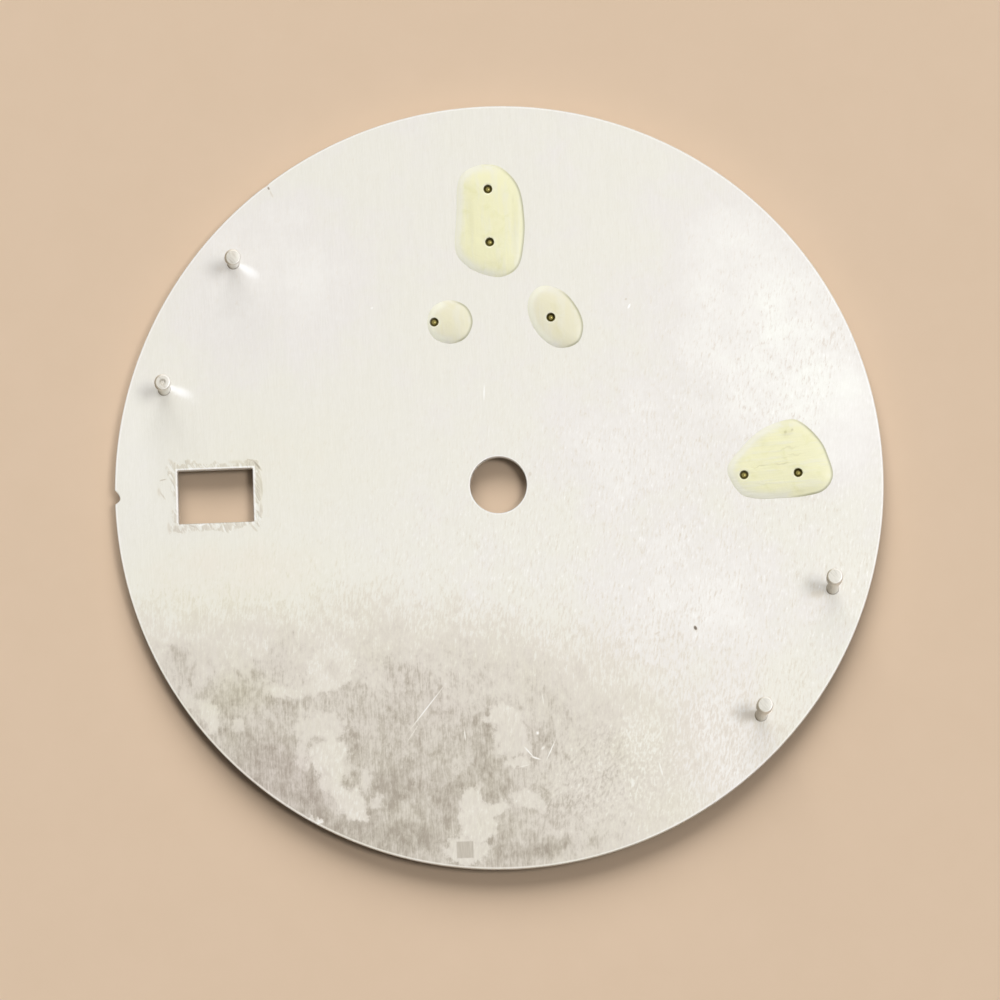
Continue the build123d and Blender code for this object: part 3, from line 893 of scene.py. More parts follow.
@dataclass(frozen=True)
class CuredGlue:
    """Two-part resin glue, cured and yellowed: a clear gloss over a pale body.

    It is deepest in colour where it is thick and nearly white where it thins out, except at the
    rim towards nine o'clock, which keeps its deep colour as painted shade. The light that enters
    on one side and gathers at the other is painted as a pale band along the rim away from nine
    o'clock, and each metal foot stands in a narrow dark gap, painted as shade with oxidised
    residue in it.
    """

    name: str = "cured_resin_glue"
    body: str = "#fffbd0"
    deep: str = "#f3efb7"
    thin: str = "#fcf9e3"
    light: str = "#fffce4"
    rim: str = "#b9b695"
    gap: str = "#4c4413"
    marks: Sequence[Patch] = ()
    band_size: Point = (0.30, 2.0)
    band_turn: float = 0.0
    swirl_size: float = 0.6
    wave_size: Point = (0.45, 0.45)
    hole_radius: float = 0.165
    roughness: float = 0.34
    refraction: float = 1.50
    scatter: float = 0.12

    def material(self) -> bpy.types.Material:
        """Lays the nodes.

        Returns:
            The material.
        """
        paint = Painter(self.name)
        rim, pin, side = (
            add_node(paint.tree, "ShaderNodeAttribute", output="Fac", attribute_name=name)
            for name in ("rim_gap", "pin_gap", "rim_side")
        )
        bands = paint.grain(self.band_size, 3.0, 0.55, turn=self.band_turn)
        swirl = paint.grain(self.swirl_size, 4.0, 0.6, 0.6)
        # Painted shade: on the side towards nine o'clock the thin rim keeps the deep body colour
        painted_shade = side.through(Work.SOFT_STEP, 0.15, -0.35)
        thick = rim.through(Work.SOFT_STEP, 0.0, 0.45).through(Work.MAXIMUM, painted_shade)
        colour = thick.through(Work.BLEND, self.thin, self.body)
        wave = paint.grain(self.wave_size, 2.0, 0.5).sway(0.5)
        wave = add_node(paint.tree, "ShaderNodeCombineXYZ", {1: wave})
        level = 0.0
        for mark in self.marks:
            level = paint.patch(mark, level, paint.place + wave)
        browned = [(level, "#a69c5e")] if self.marks else []
        layers = (
            (bands.through(Work.SOFT_STEP, 0.46, 0.66, 0.0, 0.45), self.thin),
            (swirl.through(Work.SOFT_STEP, 0.50, 0.68, 0.0, 0.45), self.deep),
            # Painted light: a pale band along the rim away from nine o'clock
            (rim.through(Work.SOFT_STEP, 0.28, 0.13) * side.through(Work.SOFT_STEP, 0.05, 0.5), self.light),
            # A darker line along the rim towards nine o'clock
            (rim.through(Work.SOFT_STEP, 0.11, 0.02) * side.through(Work.SOFT_STEP, 0.0, -0.65, 0.0, 0.85), self.rim),
            *browned,
            (pin.through(Work.SOFT_STEP, 0.30, 0.20) * 0.35, self.light),
            # Painted shade with oxidised residue: the narrow dark gap round each foot
            (pin.through(Work.SOFT_STEP, self.hole_radius + 0.015, self.hole_radius - 0.01), self.gap),
        )
        for share, tone in layers:
            colour = share.through(Work.BLEND, colour, tone)
        return paint.finish(
            bands * 0.9 + swirl,
            depth=0.012,
            Base_Color=colour,
            Roughness=self.roughness,
            IOR=self.refraction,
            Subsurface_Weight=0.12,
            Subsurface_Radius=(1.0, 0.9, 0.5),
            Subsurface_Scale=self.scatter * MM,
        )


@dataclass(frozen=True)
class PolishedPlating:
    """Polished and plated brass of the applied pieces: a mirror with faint haze.

    Its feet were left unpolished, so they are darker, and each crown is painted lighter: a worn
    spot and a painted highlight on the domed end.
    """

    name: str = "polished_plated_brass"
    haze_size: float = 0.18
    crown_height: float = 0.06
    roughness: float = 0.07
    haze: float = 0.10
    foot_roughness: float = 0.30

    def material(self) -> bpy.types.Material:
        """Lays the nodes.

        Returns:
            The material.
        """
        paint = Painter(self.name)
        haze = paint.grain(self.haze_size, 4.0, 0.6)
        foot = paint.up.through(Work.SOFT_STEP, -0.30, -0.05)
        crown = paint.up.through(Work.SOFT_STEP, self.crown_height - 0.055, self.crown_height - 0.015)
        colour = foot.through(Work.BLEND, haze.through(Work.BLEND, "#d2cfc8", "#e2dfd8"), "#544a1c")
        # The crown: a worn spot and a painted highlight
        colour = crown.through(Work.BLEND, colour, "#8f8550")
        rough = foot.through(Work.MIX, haze * self.haze + self.roughness, self.foot_roughness)
        return paint.finish(Base_Color=colour, Metallic=1.0, Roughness=rough)


@dataclass(frozen=True)
class GlossLacquer:
    """Black nitrocellulose lacquer, sprayed and polished: deep, even gloss with a faint swell."""

    name: str = "black_gloss_lacquer"
    swell_size: float = 0.9

    def material(self) -> bpy.types.Material:
        """Lays the nodes.

        Returns:
            The material.
        """
        paint = Painter(self.name)
        swell = paint.grain(self.swell_size, 2.0, 0.5)
        colour = swell.through(Work.BLEND, "#121213", "#1a1a1c")
        gloss = {"Coat_Weight": 1.0, "Coat_Roughness": 0.05}
        return paint.finish(swell, depth=0.004, Base_Color=colour, Roughness=0.30, **gloss)


@dataclass(frozen=True)
class PadPrint:
    """White pad-printing ink: matt, with slightly uneven cover."""

    name: str = "white_pad_print_ink"
    cover_size: float = 0.08

    def material(self) -> bpy.types.Material:
        """Lays the nodes.

        Returns:
            The material.
        """
        paint = Painter(self.name)
        cover = paint.grain(self.cover_size, 3.0, 0.6)
        colour = cover.through(Work.BLEND, "#dedcd6", "#efeee9")
        return paint.finish(cover, depth=0.003, Base_Color=colour, Roughness=0.62)


@dataclass(frozen=True)
class LuminousPaint:
    """Aluminate luminous paint: pale green-white grains of about 0.03 mm in a matt binder."""

    name: str = "aluminate_luminous_paint"
    grain: float = 0.03
    drift_size: float = 0.5

    def material(self) -> bpy.types.Material:
        """Lays the nodes.

        Returns:
            The material.
        """
        paint = Painter(self.name)
        grains = add_node(paint.tree, "ShaderNodeTexVoronoi", {"Vector": paint.place, "Scale": 1 / self.grain})
        colour = paint.grain(self.drift_size, 3.0, 0.5).through(Work.BLEND, "#dde2c6", "#e9ecd7")
        colour = grains.through(Work.SOFT_STEP, 0.2, 0.7, 0.0, 0.25).through(Work.BLEND, colour, "#c3cba4")
        return paint.finish(grains, depth=0.006, Base_Color=colour, Roughness=0.8)


@dataclass(frozen=True)
class PaleCard:
    """Plain pale card under the dial: matt, warm, with nothing on it."""

    name: str = "pale_warm_card"
    fibre_size: float = 2.0

    def material(self) -> bpy.types.Material:
        """Lays the nodes.

        Returns:
            The material.
        """
        paint = Painter(self.name)
        colour = paint.grain(self.fibre_size, 3.0, 0.6).through(Work.BLEND, "#e6ccb0", "#ead0b5")
        return paint.finish(Base_Color=colour, Roughness=0.95, Specular_IOR_Level=0.1)


# Sub-assemblies


@dataclass
class DialPlate:
    """The plate: a blanked disc with its openings, every edge slightly rounded."""

    window_centre: Point = (-10.5, 0.0)
    window_half: Point = (1.4, 1.0)
    window_corner: float = 0.05
    notch_reach: Point = (-0.17, 0.37)
    notch_deepest: float = 0.03
    notch_depth: float = 0.18
    notch_steps: int = 24
    edge_rounding: float = 0.035
    pin_hole_radius: float = 0.16
    nick_angle: float = 125.6
    nick_width: float = 0.55
    nick_depth: float = 0.03
    rim_steps: int = 540

    def rim(self, radius: float) -> Ring:
        """The rim with its notch at three o'clock and a small nick.

        Args:
            radius: The plate's radius.

        Returns:
            The outline, once round.
        """
        below, above = (math.degrees(math.asin(reach / radius)) for reach in self.notch_reach)
        rim = arc((0, 0), radius, -180 - below, 180 - above, self.rim_steps)
        for point in rim:
            away = (math.degrees(math.atan2(point.y, point.x)) - self.nick_angle) / self.nick_width
            point.length = radius - self.nick_depth * math.exp(-(away**2))
        for share in (1 - 2 * step / self.notch_steps for step in range(self.notch_steps)):
            reach = abs(self.notch_reach[share > 0] - self.notch_deepest)
            depth = self.notch_depth * math.cos(math.pi / 2 * share)
            rim.append(Vector((depth - radius, self.notch_deepest + reach * share, 0)))
        return rim

    def window(self) -> Ring:
        """The outline of the date window.

        Returns:
            The outline, with its corners rounded.
        """
        corner, outline = self.window_corner, []
        for turn, sides in enumerate(CORNERS):
            x, y = (m + s * (h - corner) for m, s, h in zip(self.window_centre, sides, self.window_half))
            outline += arc((x, y), corner, 90 * turn, 90 * turn + 90, 4)
        return outline

    def build(self, material: bpy.types.Material, pins: Sequence[Point]) -> list[bpy.types.Object]:
        """Builds the plate as a filled outline with thickness and rounded edges, and dresses it.

        Args:
            material: The brushed finish.
            pins: Where the feet of the applied pieces pass through.

        Returns:
            The pieces.
        """
        middle, size = box("dial_plate")
        hole = arc((0, 0), mount("centre_hole")["dims"]["r_mm"], 0, 360, 128)
        outlines = [self.rim(size.y / 2), hole, self.window()]
        outlines += [arc(pin, self.pin_hole_radius, 0, 360, 32) for pin in pins]
        curve = bpy.data.curves.new("plate_outline", "CURVE")
        curve.dimensions = "2D"
        curve.fill_mode = "BOTH"
        curve.extrude = (size.z / 2 - self.edge_rounding) * MM
        curve.bevel_depth = self.edge_rounding * MM
        curve.bevel_resolution = 2
        curve.offset = -self.edge_rounding * MM
        for outline in outlines:
            spline = curve.splines.new("POLY")
            spline.points.add(len(outline) - 1)
            for point, place in zip(spline.points, outline):
                point.co = (*(place * MM), 1)
            spline.use_cyclic_u = True
        mesh = plain_mesh(bpy.data.objects.new("plate_outline", curve), "plate_brushed")
        mesh.transform(Matrix.Translation((0, 0, middle.z * MM)))
        shell = bmesh.new()
        shell.from_mesh(mesh)
        bmesh.ops.remove_doubles(shell, verts=shell.verts, dist=1e-7)
        bmesh.ops.recalc_face_normals(shell, faces=shell.faces)
        shell.to_mesh(mesh)
        shell.free()
        return [place_piece(mesh, material, ["dial_plate"])]


class WireEnd(Enum):
    """How a dial foot's free end was left."""

    FLAT = "cut and filed flat"
    DIMPLED = "pressed in at its middle"
    PINCHED = "pinched off, with a ridge"


@dataclass
class DialFoot:
    """One dial foot: a welded wire with a thicker head, leaning a little from handling."""

    hour: str
    end: WireEnd
    lean: Point
    head_radius: float = 0.30
    shaft_radius: float = 0.212
    neck_radius: float = 0.190
    weld: float = 0.035
    head_length: float = 0.42
    end_rounding: float = 0.06
    end_shares: Sequence[float] = (0.80, 0.68, 0.56, 0.45, 0.36, 0.28, 0.20, 0.12, 0.04)
    dimple_radius: float = 0.12
    dimple_depth: float = 0.08
    ridge_drop: float = 0.05
    ridge_turn: float = -48.0
    ridge_flat: float = 0.15
    filed_drop: float = 0.006
    neck_drops: Point = (0.16, 0.06)
    head_chamfer: float = 0.03
    lean_curve: float = 0.4
    end_share: float = 0.97
    count: int = 56

    def profile(self, height: float) -> list[Point]:
        """Radius and height of each ring, from the plate to near the middle of the end.

        Args:
            height: The foot's height.

        Returns:
            The profile.
        """
        shaft, head, under, bend = self.shaft_radius, self.head_radius, height - self.head_length, self.end_rounding
        turns = [math.pi / 2 * step / 6 for step in range(7)]
        profile = [(shaft + self.weld * (1 - math.sin(turn)), self.weld * (1 - math.cos(turn))) for turn in turns]
        profile += [(shaft, (self.weld + under) * share) for share in (0.25, 0.5, 0.75)]
        neck_start, neck_end = self.neck_drops
        profile += [(shaft, under - neck_start), (self.neck_radius, under - neck_end), (head, under)]
        profile += [(head, under + self.head_chamfer), (head, under + self.head_length * 0.6)]
        turns = [math.pi / 2 * step / 4 for step in range(5)]
        profile += [(head - bend + bend * math.cos(turn), height - bend + bend * math.sin(turn)) for turn in turns]
        return profile + [(head * share, height) for share in self.end_shares]

    def end_drop(self, offset: Vector) -> float:
        """How far the end lies below its full height at a place off the foot's axis.

        Args:
            offset: The place, from the axis.

        Returns:
            The drop.
        """
        if self.end is WireEnd.DIMPLED:
            return self.dimple_depth * min(1.0, max(0.0, 1 - offset.length / self.dimple_radius) * 2.0)
        if self.end is WireEnd.PINCHED:
            turn = math.radians(self.ridge_turn)
            aside = abs(offset.y * math.cos(turn) - offset.x * math.sin(turn))
            return self.ridge_drop * max(0.0, aside / self.head_radius - self.ridge_flat)
        return self.filed_drop * (1 + offset.x / self.head_radius)

    def build(self, material: bpy.types.Material) -> list[bpy.types.Object]:
        """Builds and dresses the foot.

        Args:
            material: The wire's finish.

        Returns:
            The piece.
        """
        node = f"dial_foot_{self.hour}"
        base = (Vector(mount(f"foot_{self.hour}")["pos_m"]) / MM).xy
        height = box(node)[1].z
        rings = turned(self.profile(height), tuple(base), self.count)
        points = [point for ring in rings for point in ring]
        for point in points:
            share = point.z / height
            if share > self.end_share:
                point.z -= self.end_drop(point.xy - base)
            point += Vector((*self.lean, 0)) * (share**2 * self.lean_curve + share * (1 - self.lean_curve))
        mesh = mesh_from_rings(rings, f"{node}_wire")
        first = (len(rings) - len(self.end_shares)) * self.count
        add_attribute(mesh, "cut_end", [float(index >= first) for index in range(len(points))])
        middles = [sum(ring, Vector()) / len(ring) for ring in rings for _ in ring]
        offsets = [point - middle for point, middle in zip(points, middles)]
        widths = [self.head_radius if index >= first else offset.length for index, offset in enumerate(offsets)]
        # How far each point faces nine o'clock, which the wire's painted light and shade read
        add_attribute(mesh, "towards_nine", [offset.x / width for offset, width in zip(offsets, widths)])
        return [place_piece(mesh, material, [node], crease=50)]


@dataclass
class GluePad:
    """One drop of cured glue over the feet of an applied piece."""

    node: str
    shares: Sequence[Point]
    pins: Sequence[Point]
    rim_width: float = 0.42
    swell: float = 0.60
    crater_rim: float = 0.17
    crater_width: float = 0.05
    crater_power: float = 0.7
    least_height: float = 0.004
    crowding: float = 1.15
    around: int = 24
    rings: int = 44

    def outline(self) -> Ring:
        """The pad's outline, fitted to its CAD box.

        Returns:
            The outline.
        """
        samples = closed_curve(self.shares, self.around)
        middle, size = box(self.node)
        for axis in (0, 1):
            least, most = (edge(point[axis] for point in samples) for edge in (min, max))
            for point in samples:
                point[axis] = middle[axis] + ((point[axis] - least) / (most - least) - 0.5) * size[axis]
        return samples

    def build(self, material: bpy.types.Material) -> list[bpy.types.Object]:
        """Builds the pad: a thin rim that swells to a nearly flat top, with a dip at each foot.

        Args:
            material: The glue's finish.

        Returns:
            The piece.
        """
        outline = self.outline()
        middle = sum(outline, Vector()) / len(outline)
        shares = [(1 - step / self.rings) ** self.crowding for step in range(self.rings)]
        rings = [[middle + (point - middle) * share for point in outline] for share in shares]
        flat = np.array([point.xy for ring in rings for point in ring])
        border = np.array([point.xy for point in outline])
        distances = np.sqrt(((flat[:, None, :] - border[None, :, :]) ** 2).sum(2))
        rim_gap = distances.min(1)
        rim_gap[: len(outline)] = 0.0
        nearest = border[distances.argmin(1)] - np.array(middle.xy)
        rim_side = -nearest[:, 0] / np.maximum(np.hypot(*nearest.T), 1e-6)
        pin_gap = np.min([np.hypot(*(flat - pin).T) for pin in self.pins], axis=0)
        height = box(self.node)[1].z * self.swell * (1 - np.exp(-rim_gap / self.rim_width))
        dip = np.clip((pin_gap - self.crater_rim + self.crater_width) / self.crater_width, 0, 1)
        height = np.maximum(self.least_height, height * dip**self.crater_power)
        height[: len(outline)] = 0.0
        for point, rise in zip((point for ring in rings for point in ring), height):
            point.z = rise
        mesh = mesh_from_rings(rings, f"{self.node}_drop")
        for name, values in (("rim_gap", rim_gap), ("pin_gap", pin_gap), ("rim_side", rim_side)):
            add_attribute(mesh, name, values.astype(np.float32))
        return [place_piece(mesh, material, [self.node], crease=60)]


@dataclass
class AppliedPiece:
    """A polished piece of the front: a bevelled body on two feet."""

    node: str
    bevel: float
    edge: float
    pin_pitch: float
    pin_radius: float = 0.13
    pin_top: float = 0.06
    seat: float = -0.45

    def pin_way(self) -> Vector:
        """The way from one foot to the other, across the radius."""
        return Vector((1, 0))

    def pins(self) -> list[Point]:
        """Where its two feet stand."""
        middle = box(self.node)[0].xy
        return [tuple(middle + self.pin_way() * shift * self.pin_pitch / 2) for shift in (-1, 1)]

    def pin_mesh(self, centre: Point) -> bpy.types.Mesh:
        """One foot: a thin wire with a domed end.

        Args:
            centre: Where it stands.

        Returns:
            The mesh.
        """
        radius, dome = self.pin_radius, self.pin_radius * 0.75
        base = self.pin_top - dome
        turns = [math.radians(degrees) for degrees in (15, 30, 45, 60, 73, 84)]
        profile = [(radius, self.seat + 0.01), (radius, base)]
        profile += [(radius * math.cos(turn), base + dome * math.sin(turn)) for turn in turns]
        return mesh_from_rings(turned(profile, centre, 32), "pin")

    def rows(self, front: float) -> list[Point]:
        """The inset and height of each ring, from the seat to the front's flat.

        Args:
            front: The height of the front.

        Returns:
            The rings, the seat's first.
        """
        bevel, edge = self.bevel, self.edge
        return [
            (0.0, self.seat),
            (0.0, front + bevel + edge),
            (edge * 0.5, front + bevel - edge * 0.3),
            (bevel - edge, front + edge * 0.7),
            (bevel + edge, front),
        ]

    def ring(self, inset: float, height: float) -> Ring:
        """Its outline, with round ends, drawn in by an inset, at a height.

        Args:
            inset: How far it is drawn in.
            height: Where it lies.

        Returns:
            The outline.
        """
        middle, size = box(self.node)
        radius, reach = size.y / 2 - inset, (size.x - size.y) / 2
        ends = ((middle.x + reach, -90), (middle.x - reach, 90))
        return [point for x, start in ends for point in arc((x, middle.y), radius, start, start + 180, 24, height)]

    def build(self, material: bpy.types.Material) -> list[bpy.types.Object]:
        """Builds the body and the feet and dresses them as one piece.

        Args:
            material: The polished finish.

        Returns:
            The piece.
        """
        rings = [self.ring(*row) for row in self.rows(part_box(self.node)[0].z / MM)]
        parts = [mesh_from_rings(rings, "body"), *(self.pin_mesh(pin) for pin in self.pins())]
        whole = bmesh.new()
        for part in parts:
            whole.from_mesh(part)
            bpy.data.meshes.remove(part)
        mesh = bpy.data.meshes.new(f"{self.node}_polished")
        whole.to_mesh(mesh)
        whole.free()
        return [place_piece(mesh, material, [self.node])]


@dataclass
class AppliedMarker(AppliedPiece):
    """An applied hour marker: a bevelled frame with a pocket, its two feet in line with the radius."""

    bevel: float = 0.09
    edge: float = 0.015
    pin_pitch: float = 2.00
    outer_width: float = 1.50
    inner_width: float = 1.50
    turn: float = 0.0
    corner: float = 0.18
    least_corner: float = 0.02
    wall: float = 0.22
    pocket_depth: float = 0.24

    def pin_way(self) -> Vector:
        """The way from one foot to the other, outwards."""
        return box(self.node)[0].xy.normalized()

    def rows(self, front: float) -> list[Point]:
        """The inset and height of each ring, from the seat to the pocket's floor.

        Args:
            front: The height of the front.

        Returns:
            The rings, the seat's first.
        """
        pocket = [
            (self.wall - self.edge, front), (self.wall, front + self.edge), (self.wall, front + self.pocket_depth)
        ]
        return super().rows(front) + pocket

    def ring(self, inset: float, height: float) -> Ring:
        """Its outline drawn in by an inset, at a height.

        Args:
            inset: How far it is drawn in.
            height: Where it lies.

        Returns:
            The outline.
        """
        middle, size = box(self.node)
        length = size.y if self.turn == 0 else size.x
        slant = math.atan((self.outer_width - self.inner_width) / 2 / length)
        radius = max(self.corner - inset, self.least_corner)
        aside = inset + radius
        points = []
        for index, (side_x, side_y) in enumerate(CORNERS):
            width = self.outer_width if side_y > 0 else self.inner_width
            x = side_x * (width / 2 - aside - aside * math.tan(slant) * 0.5)
            points += whole_arc((x, side_y * (length / 2 - aside)), radius, 90 * index, 6, 0.0)
        turn = Matrix.Rotation(math.radians(self.turn), 3, "Z")
        return [turn @ point + Vector((middle.x, middle.y, height)) for point in points]


@dataclass
class HourPlots:
    """The luminous plots: eight round ones with domed faces, and a long one at six o'clock."""

    diameter: float = 1.80
    wall_share: float = 0.35
    hours: Sequence[int] = (1, 2, 4, 5, 7, 8, 10, 11)
    bar_corner: float = 0.30
    least_corner: float = 0.03
    bar_shoulder: Sequence[Point] = ((0.0, 0.12), (0.03, 0.05), (0.08, 0.015), (0.18, 0.0), (0.30, 0.0))
    dome_power: float = 5.0
    around: int = 48
    fill_rings: int = 8

    def round_mesh(self, material: bpy.types.Material) -> bpy.types.Mesh:
        """Sets a domed plot at every hour but the quarters.

        Args:
            material: The plots' finish.

        Returns:
            The mesh.
        """
        middle, size = box("hour_plot_1")
        sizes = {
            "Reach": middle.xy.length * MM,
            "Radius": self.diameter / 2 * MM,
            "Height": size.z * MM,
            "Wall share": self.wall_share,
            "Seat": (middle.z + size.z / 2) * MM,
        }
        reach, radius, height, wall, seat = start_tree("domed_plots", sizes)
        tree = reach.tree
        ring = add_node(tree, "GeometryNodeMeshCircle", {"Vertices": 12, "Radius": reach})
        rest = add_node(tree, "GeometryNodeInputIndex").through(Work.REMAINDER, 3.0)
        quarter = add_node(tree, "FunctionNodeCompare", {0: rest, 1: 0.5}, operation="LESS_THAN")
        hours = add_node(tree, "GeometryNodeDeleteGeometry", {"Geometry": ring, "Selection": quarter})
        inputs = {"Vertices": self.around, "Fill Segments": self.fill_rings, "Radius": radius, "Depth": height}
        disc = add_node(tree, "GeometryNodeMeshCylinder", inputs)
        place = add_node(tree, "GeometryNodeInputPosition")
        up = add_node(tree, "ShaderNodeSeparateXYZ", {0: place}, output=2)
        flat = place * (1.0, 1.0, 0.0)
        share = flat.through(Work.LENGTH).through(Work.QUOTIENT, radius)
        fall = share.through(Work.POWER, self.dome_power)
        dome = (fall * -1.0 + 1.0).through(Work.MAXIMUM, 0.0).through(Work.ROOT)
        rise = dome * (wall * -1.0 + 1.0) + wall
        target = flat + add_node(tree, "ShaderNodeCombineXYZ", {2: height * 0.5 - rise * height})
        front = add_node(tree, "FunctionNodeCompare", {0: up, 1: 0.0}, operation="LESS_THAN")
        inputs = {"Geometry": disc, "Selection": front, "Position": target}
        domed = add_node(tree, "GeometryNodeSetPosition", inputs)
        plots = add_node(tree, "GeometryNodeInstanceOnPoints", {"Points": hours, "Instance": domed})
        return grow(plots, seat - height * 0.5, "hour_plots_domed", sizes, material)

    def bar_mesh(self) -> bpy.types.Mesh:
        """The long plot at six o'clock, with rounded corners and shoulders.

        Returns:
            The mesh.
        """
        middle, size = box("hour_bar_6")
        low, high = middle.z - size.z / 2, middle.z + size.z / 2
        rings = []
        for inset, height in ((0.0, high), *((inset, low + rise) for inset, rise in self.bar_shoulder)):
            radius = max(self.bar_corner - inset, self.least_corner)
            ring = []
            for turn, sides in enumerate(CORNERS):
                x, y = (m + s * (w / 2 - inset - radius) for m, s, w in zip(middle, sides, size))
                ring += whole_arc((x, y), radius, 90 * turn, 8, height)
            rings.append(ring)
        return mesh_from_rings(rings, "hour_bar_6_plot")

    def build(self, material: bpy.types.Material) -> list[bpy.types.Object]:
        """Builds and dresses the plots.

        Args:
            material: The luminous finish.

        Returns:
            The pieces.
        """
        nodes = [f"hour_plot_{hour}" for hour in self.hours]
        round_plots = place_piece(self.round_mesh(material), material, nodes)
        return [round_plots, place_piece(self.bar_mesh(), material, ["hour_bar_6"])]


@dataclass
class MinuteTrack:
    """The printed track: one line with sixty ticks, the hours wider and longer."""

    line_width: float = 0.10
    minute_tick: Point = (0.50, 0.12)
    hour_tick: Point = (0.75, 0.26)

    def build(self, material: bpy.types.Material) -> list[bpy.types.Object]:
        """Sets ticks round a printed line and dresses the track.

        Args:
            material: The ink.

        Returns:
            The piece.
        """
        middle, size = box("minute_track")
        sizes = {
            "Reach": (size.x / 2 - self.line_width / 2) * MM,
            "Line width": self.line_width * MM,
            "Thickness": size.z * MM,
            "Middle": middle.z * MM,
            "Minute length": self.minute_tick[0] * MM,
            "Minute width": self.minute_tick[1] * MM,
            "Hour length": self.hour_tick[0] * MM,
            "Hour width": self.hour_tick[1] * MM,
        }
        reach, line_width, thickness, level, *ticks = start_tree("printed_track", sizes)
        tree = reach.tree
        circle = add_node(tree, "GeometryNodeCurvePrimitiveCircle", {"Resolution": 360, "Radius": reach})
        inputs = {"Width": line_width, "Height": thickness}
        section = add_node(tree, "GeometryNodeCurvePrimitiveQuadrilateral", inputs)
        line = add_node(tree, "GeometryNodeCurveToMesh", {"Curve": circle, "Profile Curve": section})
        track = add_node(tree, "GeometryNodeJoinGeometry", {"Geometry": line})
        for count, length, width in ((60, *ticks[:2]), (12, *ticks[2:])):
            half = length * -0.5 + reach
            ring = add_node(tree, "GeometryNodeMeshCircle", {"Vertices": count, "Radius": half})
            block = add_node(tree, "ShaderNodeCombineXYZ", {0: length, 1: width, 2: thickness})
            tick = add_node(tree, "GeometryNodeMeshCube", {"Size": block})
            angle = add_node(tree, "GeometryNodeInputIndex") * (math.tau / count)
            turn = add_node(tree, "ShaderNodeCombineXYZ", {2: angle})
            inputs = {"Points": ring, "Instance": tick, "Rotation": turn}
            placed = add_node(tree, "GeometryNodeInstanceOnPoints", inputs)
            tree.links.new(placed.socket, track.socket.node.inputs[0])
        mesh = grow(track, level, "minute_track_print", sizes, material)
        return [place_piece(mesh, material, ["minute_track"])]


# The studio


@dataclass
class PhotoCamera:
    """The camera at the photograph's angle: nearly straight above, from a little below six."""

    height: float = 82.60
    bearing: float = -74.9
    roll: float = 2.02
    distance: float = 233.1
    aim: tuple[float, float, float] = (0.04, -0.57, 0.0)
    view_angle: float = 9.081

    def build(self) -> None:
        """Adds the camera and makes it the scene's."""
        away, roll = direction(self.bearing, self.height), math.radians(self.roll)
        right = (-away).cross(Vector((math.sin(roll), math.cos(roll), 0))).normalized()
        data = bpy.data.cameras.new("photo_camera")
        data.angle = math.radians(self.view_angle)
        data.clip_start = 0.005
        data.clip_end = 50
        camera = bpy.data.objects.new("photo_camera", data)
        turn = Matrix((right, away.cross(right), away)).transposed().to_4x4()
        camera.matrix_world = Matrix.Translation((Vector(self.aim) + away * self.distance) * MM) @ turn
        bpy.context.scene.collection.objects.link(camera)
        bpy.context.scene.camera = camera


@dataclass(frozen=True)
class SoftLamp:
    """A round soft lamp that hangs at a bearing and height, in degrees, and lights the dial.

    A lamp that isn't mirrored leaves the brushed back its tone when it is seen along the floor.
    """

    name: str
    bearing: float
    height: float
    power: float
    size: float
    distance: float = 2400.0
    mirrored: bool = True

    def build(self) -> None:
        """Hangs the lamp."""
        away = direction(self.bearing, self.height)
        data = bpy.data.lights.new(self.name, "AREA")
        data.shape = "DISK"
        data.size = self.size * MM
        data.energy = self.power
        lamp = bpy.data.objects.new(self.name, data)
        lamp.location = away * self.distance * MM
        lamp.rotation_euler = away.to_track_quat("Z", "Y").to_euler()
        lamp.visible_glossy = self.mirrored
        bpy.context.scene.collection.objects.link(lamp)


@dataclass
class Studio:
    """A plain pale floor, faint light from all round, and two soft lamps at nine and at twelve."""

    floor_half: float = 420.0
    zenith: str = "#fbfaf8"
    horizon: str = "#d2c4b4"
    zenith_share: float = 0.75
    fill: float = 0.10
    lamps: Sequence[SoftLamp] = (
        SoftLamp("broad_at_twelve", 89, 38, 60.5, size=2100, mirrored=False),
        SoftLamp("small_above_nine", 2, 70, 13.2, size=610),
    )

    def floor(self) -> None:
        """Lays the floor under the lowest point of the dial."""
        mesh = bpy.data.meshes.new("floor")
        corners = [(x * self.floor_half * MM, y * self.floor_half * MM, CAD_BOX[0][2]) for x, y in CORNERS]
        mesh.from_pydata(corners, [], [(0, 1, 2, 3)])
        mesh.materials.append(PaleCard().material())
        floor = bpy.data.objects.new("floor", mesh)
        bpy.context.scene.collection.objects.link(floor)

    def world(self) -> None:
        """Lights evenly from all round. Camera, metal and gloss see a sky that greys towards its rim."""
        world = bpy.data.worlds.new("studio")
        world.use_nodes = True
        tree = world.node_tree
        tree.nodes.clear()
        place = add_node(tree, "ShaderNodeTexCoord", output="Generated")
        up = add_node(tree, "ShaderNodeSeparateXYZ", {0: place}, output=2)
        sky = (up * (1 / self.zenith_share)).through(Work.BLEND, self.horizon, self.zenith)
        shown = add_node(tree, "ShaderNodeBackground", {"Color": sky, "Strength": 1.0})
        lit = add_node(tree, "ShaderNodeBackground", {"Color": "#ffffff", "Strength": self.fill})
        camera, gloss, glass = (
            add_node(tree, "ShaderNodeLightPath", output=f"Is {ray} Ray")
            for ray in ("Camera", "Glossy", "Transmission")
        )
        seen = camera.through(Work.MAXIMUM, gloss).through(Work.MAXIMUM, glass)
        both = add_node(tree, "ShaderNodeMixShader", {0: seen, 1: lit, 2: shown})
        add_node(tree, "ShaderNodeOutputWorld", {"Surface": both})
        bpy.context.scene.world = world

    def build(self) -> None:
        """Sets up floor, surround and lamps."""
        self.floor()
        self.world()
        for lamp in self.lamps:
            lamp.build()
        bpy.context.scene.view_settings.view_transform = "Standard"


# The dial


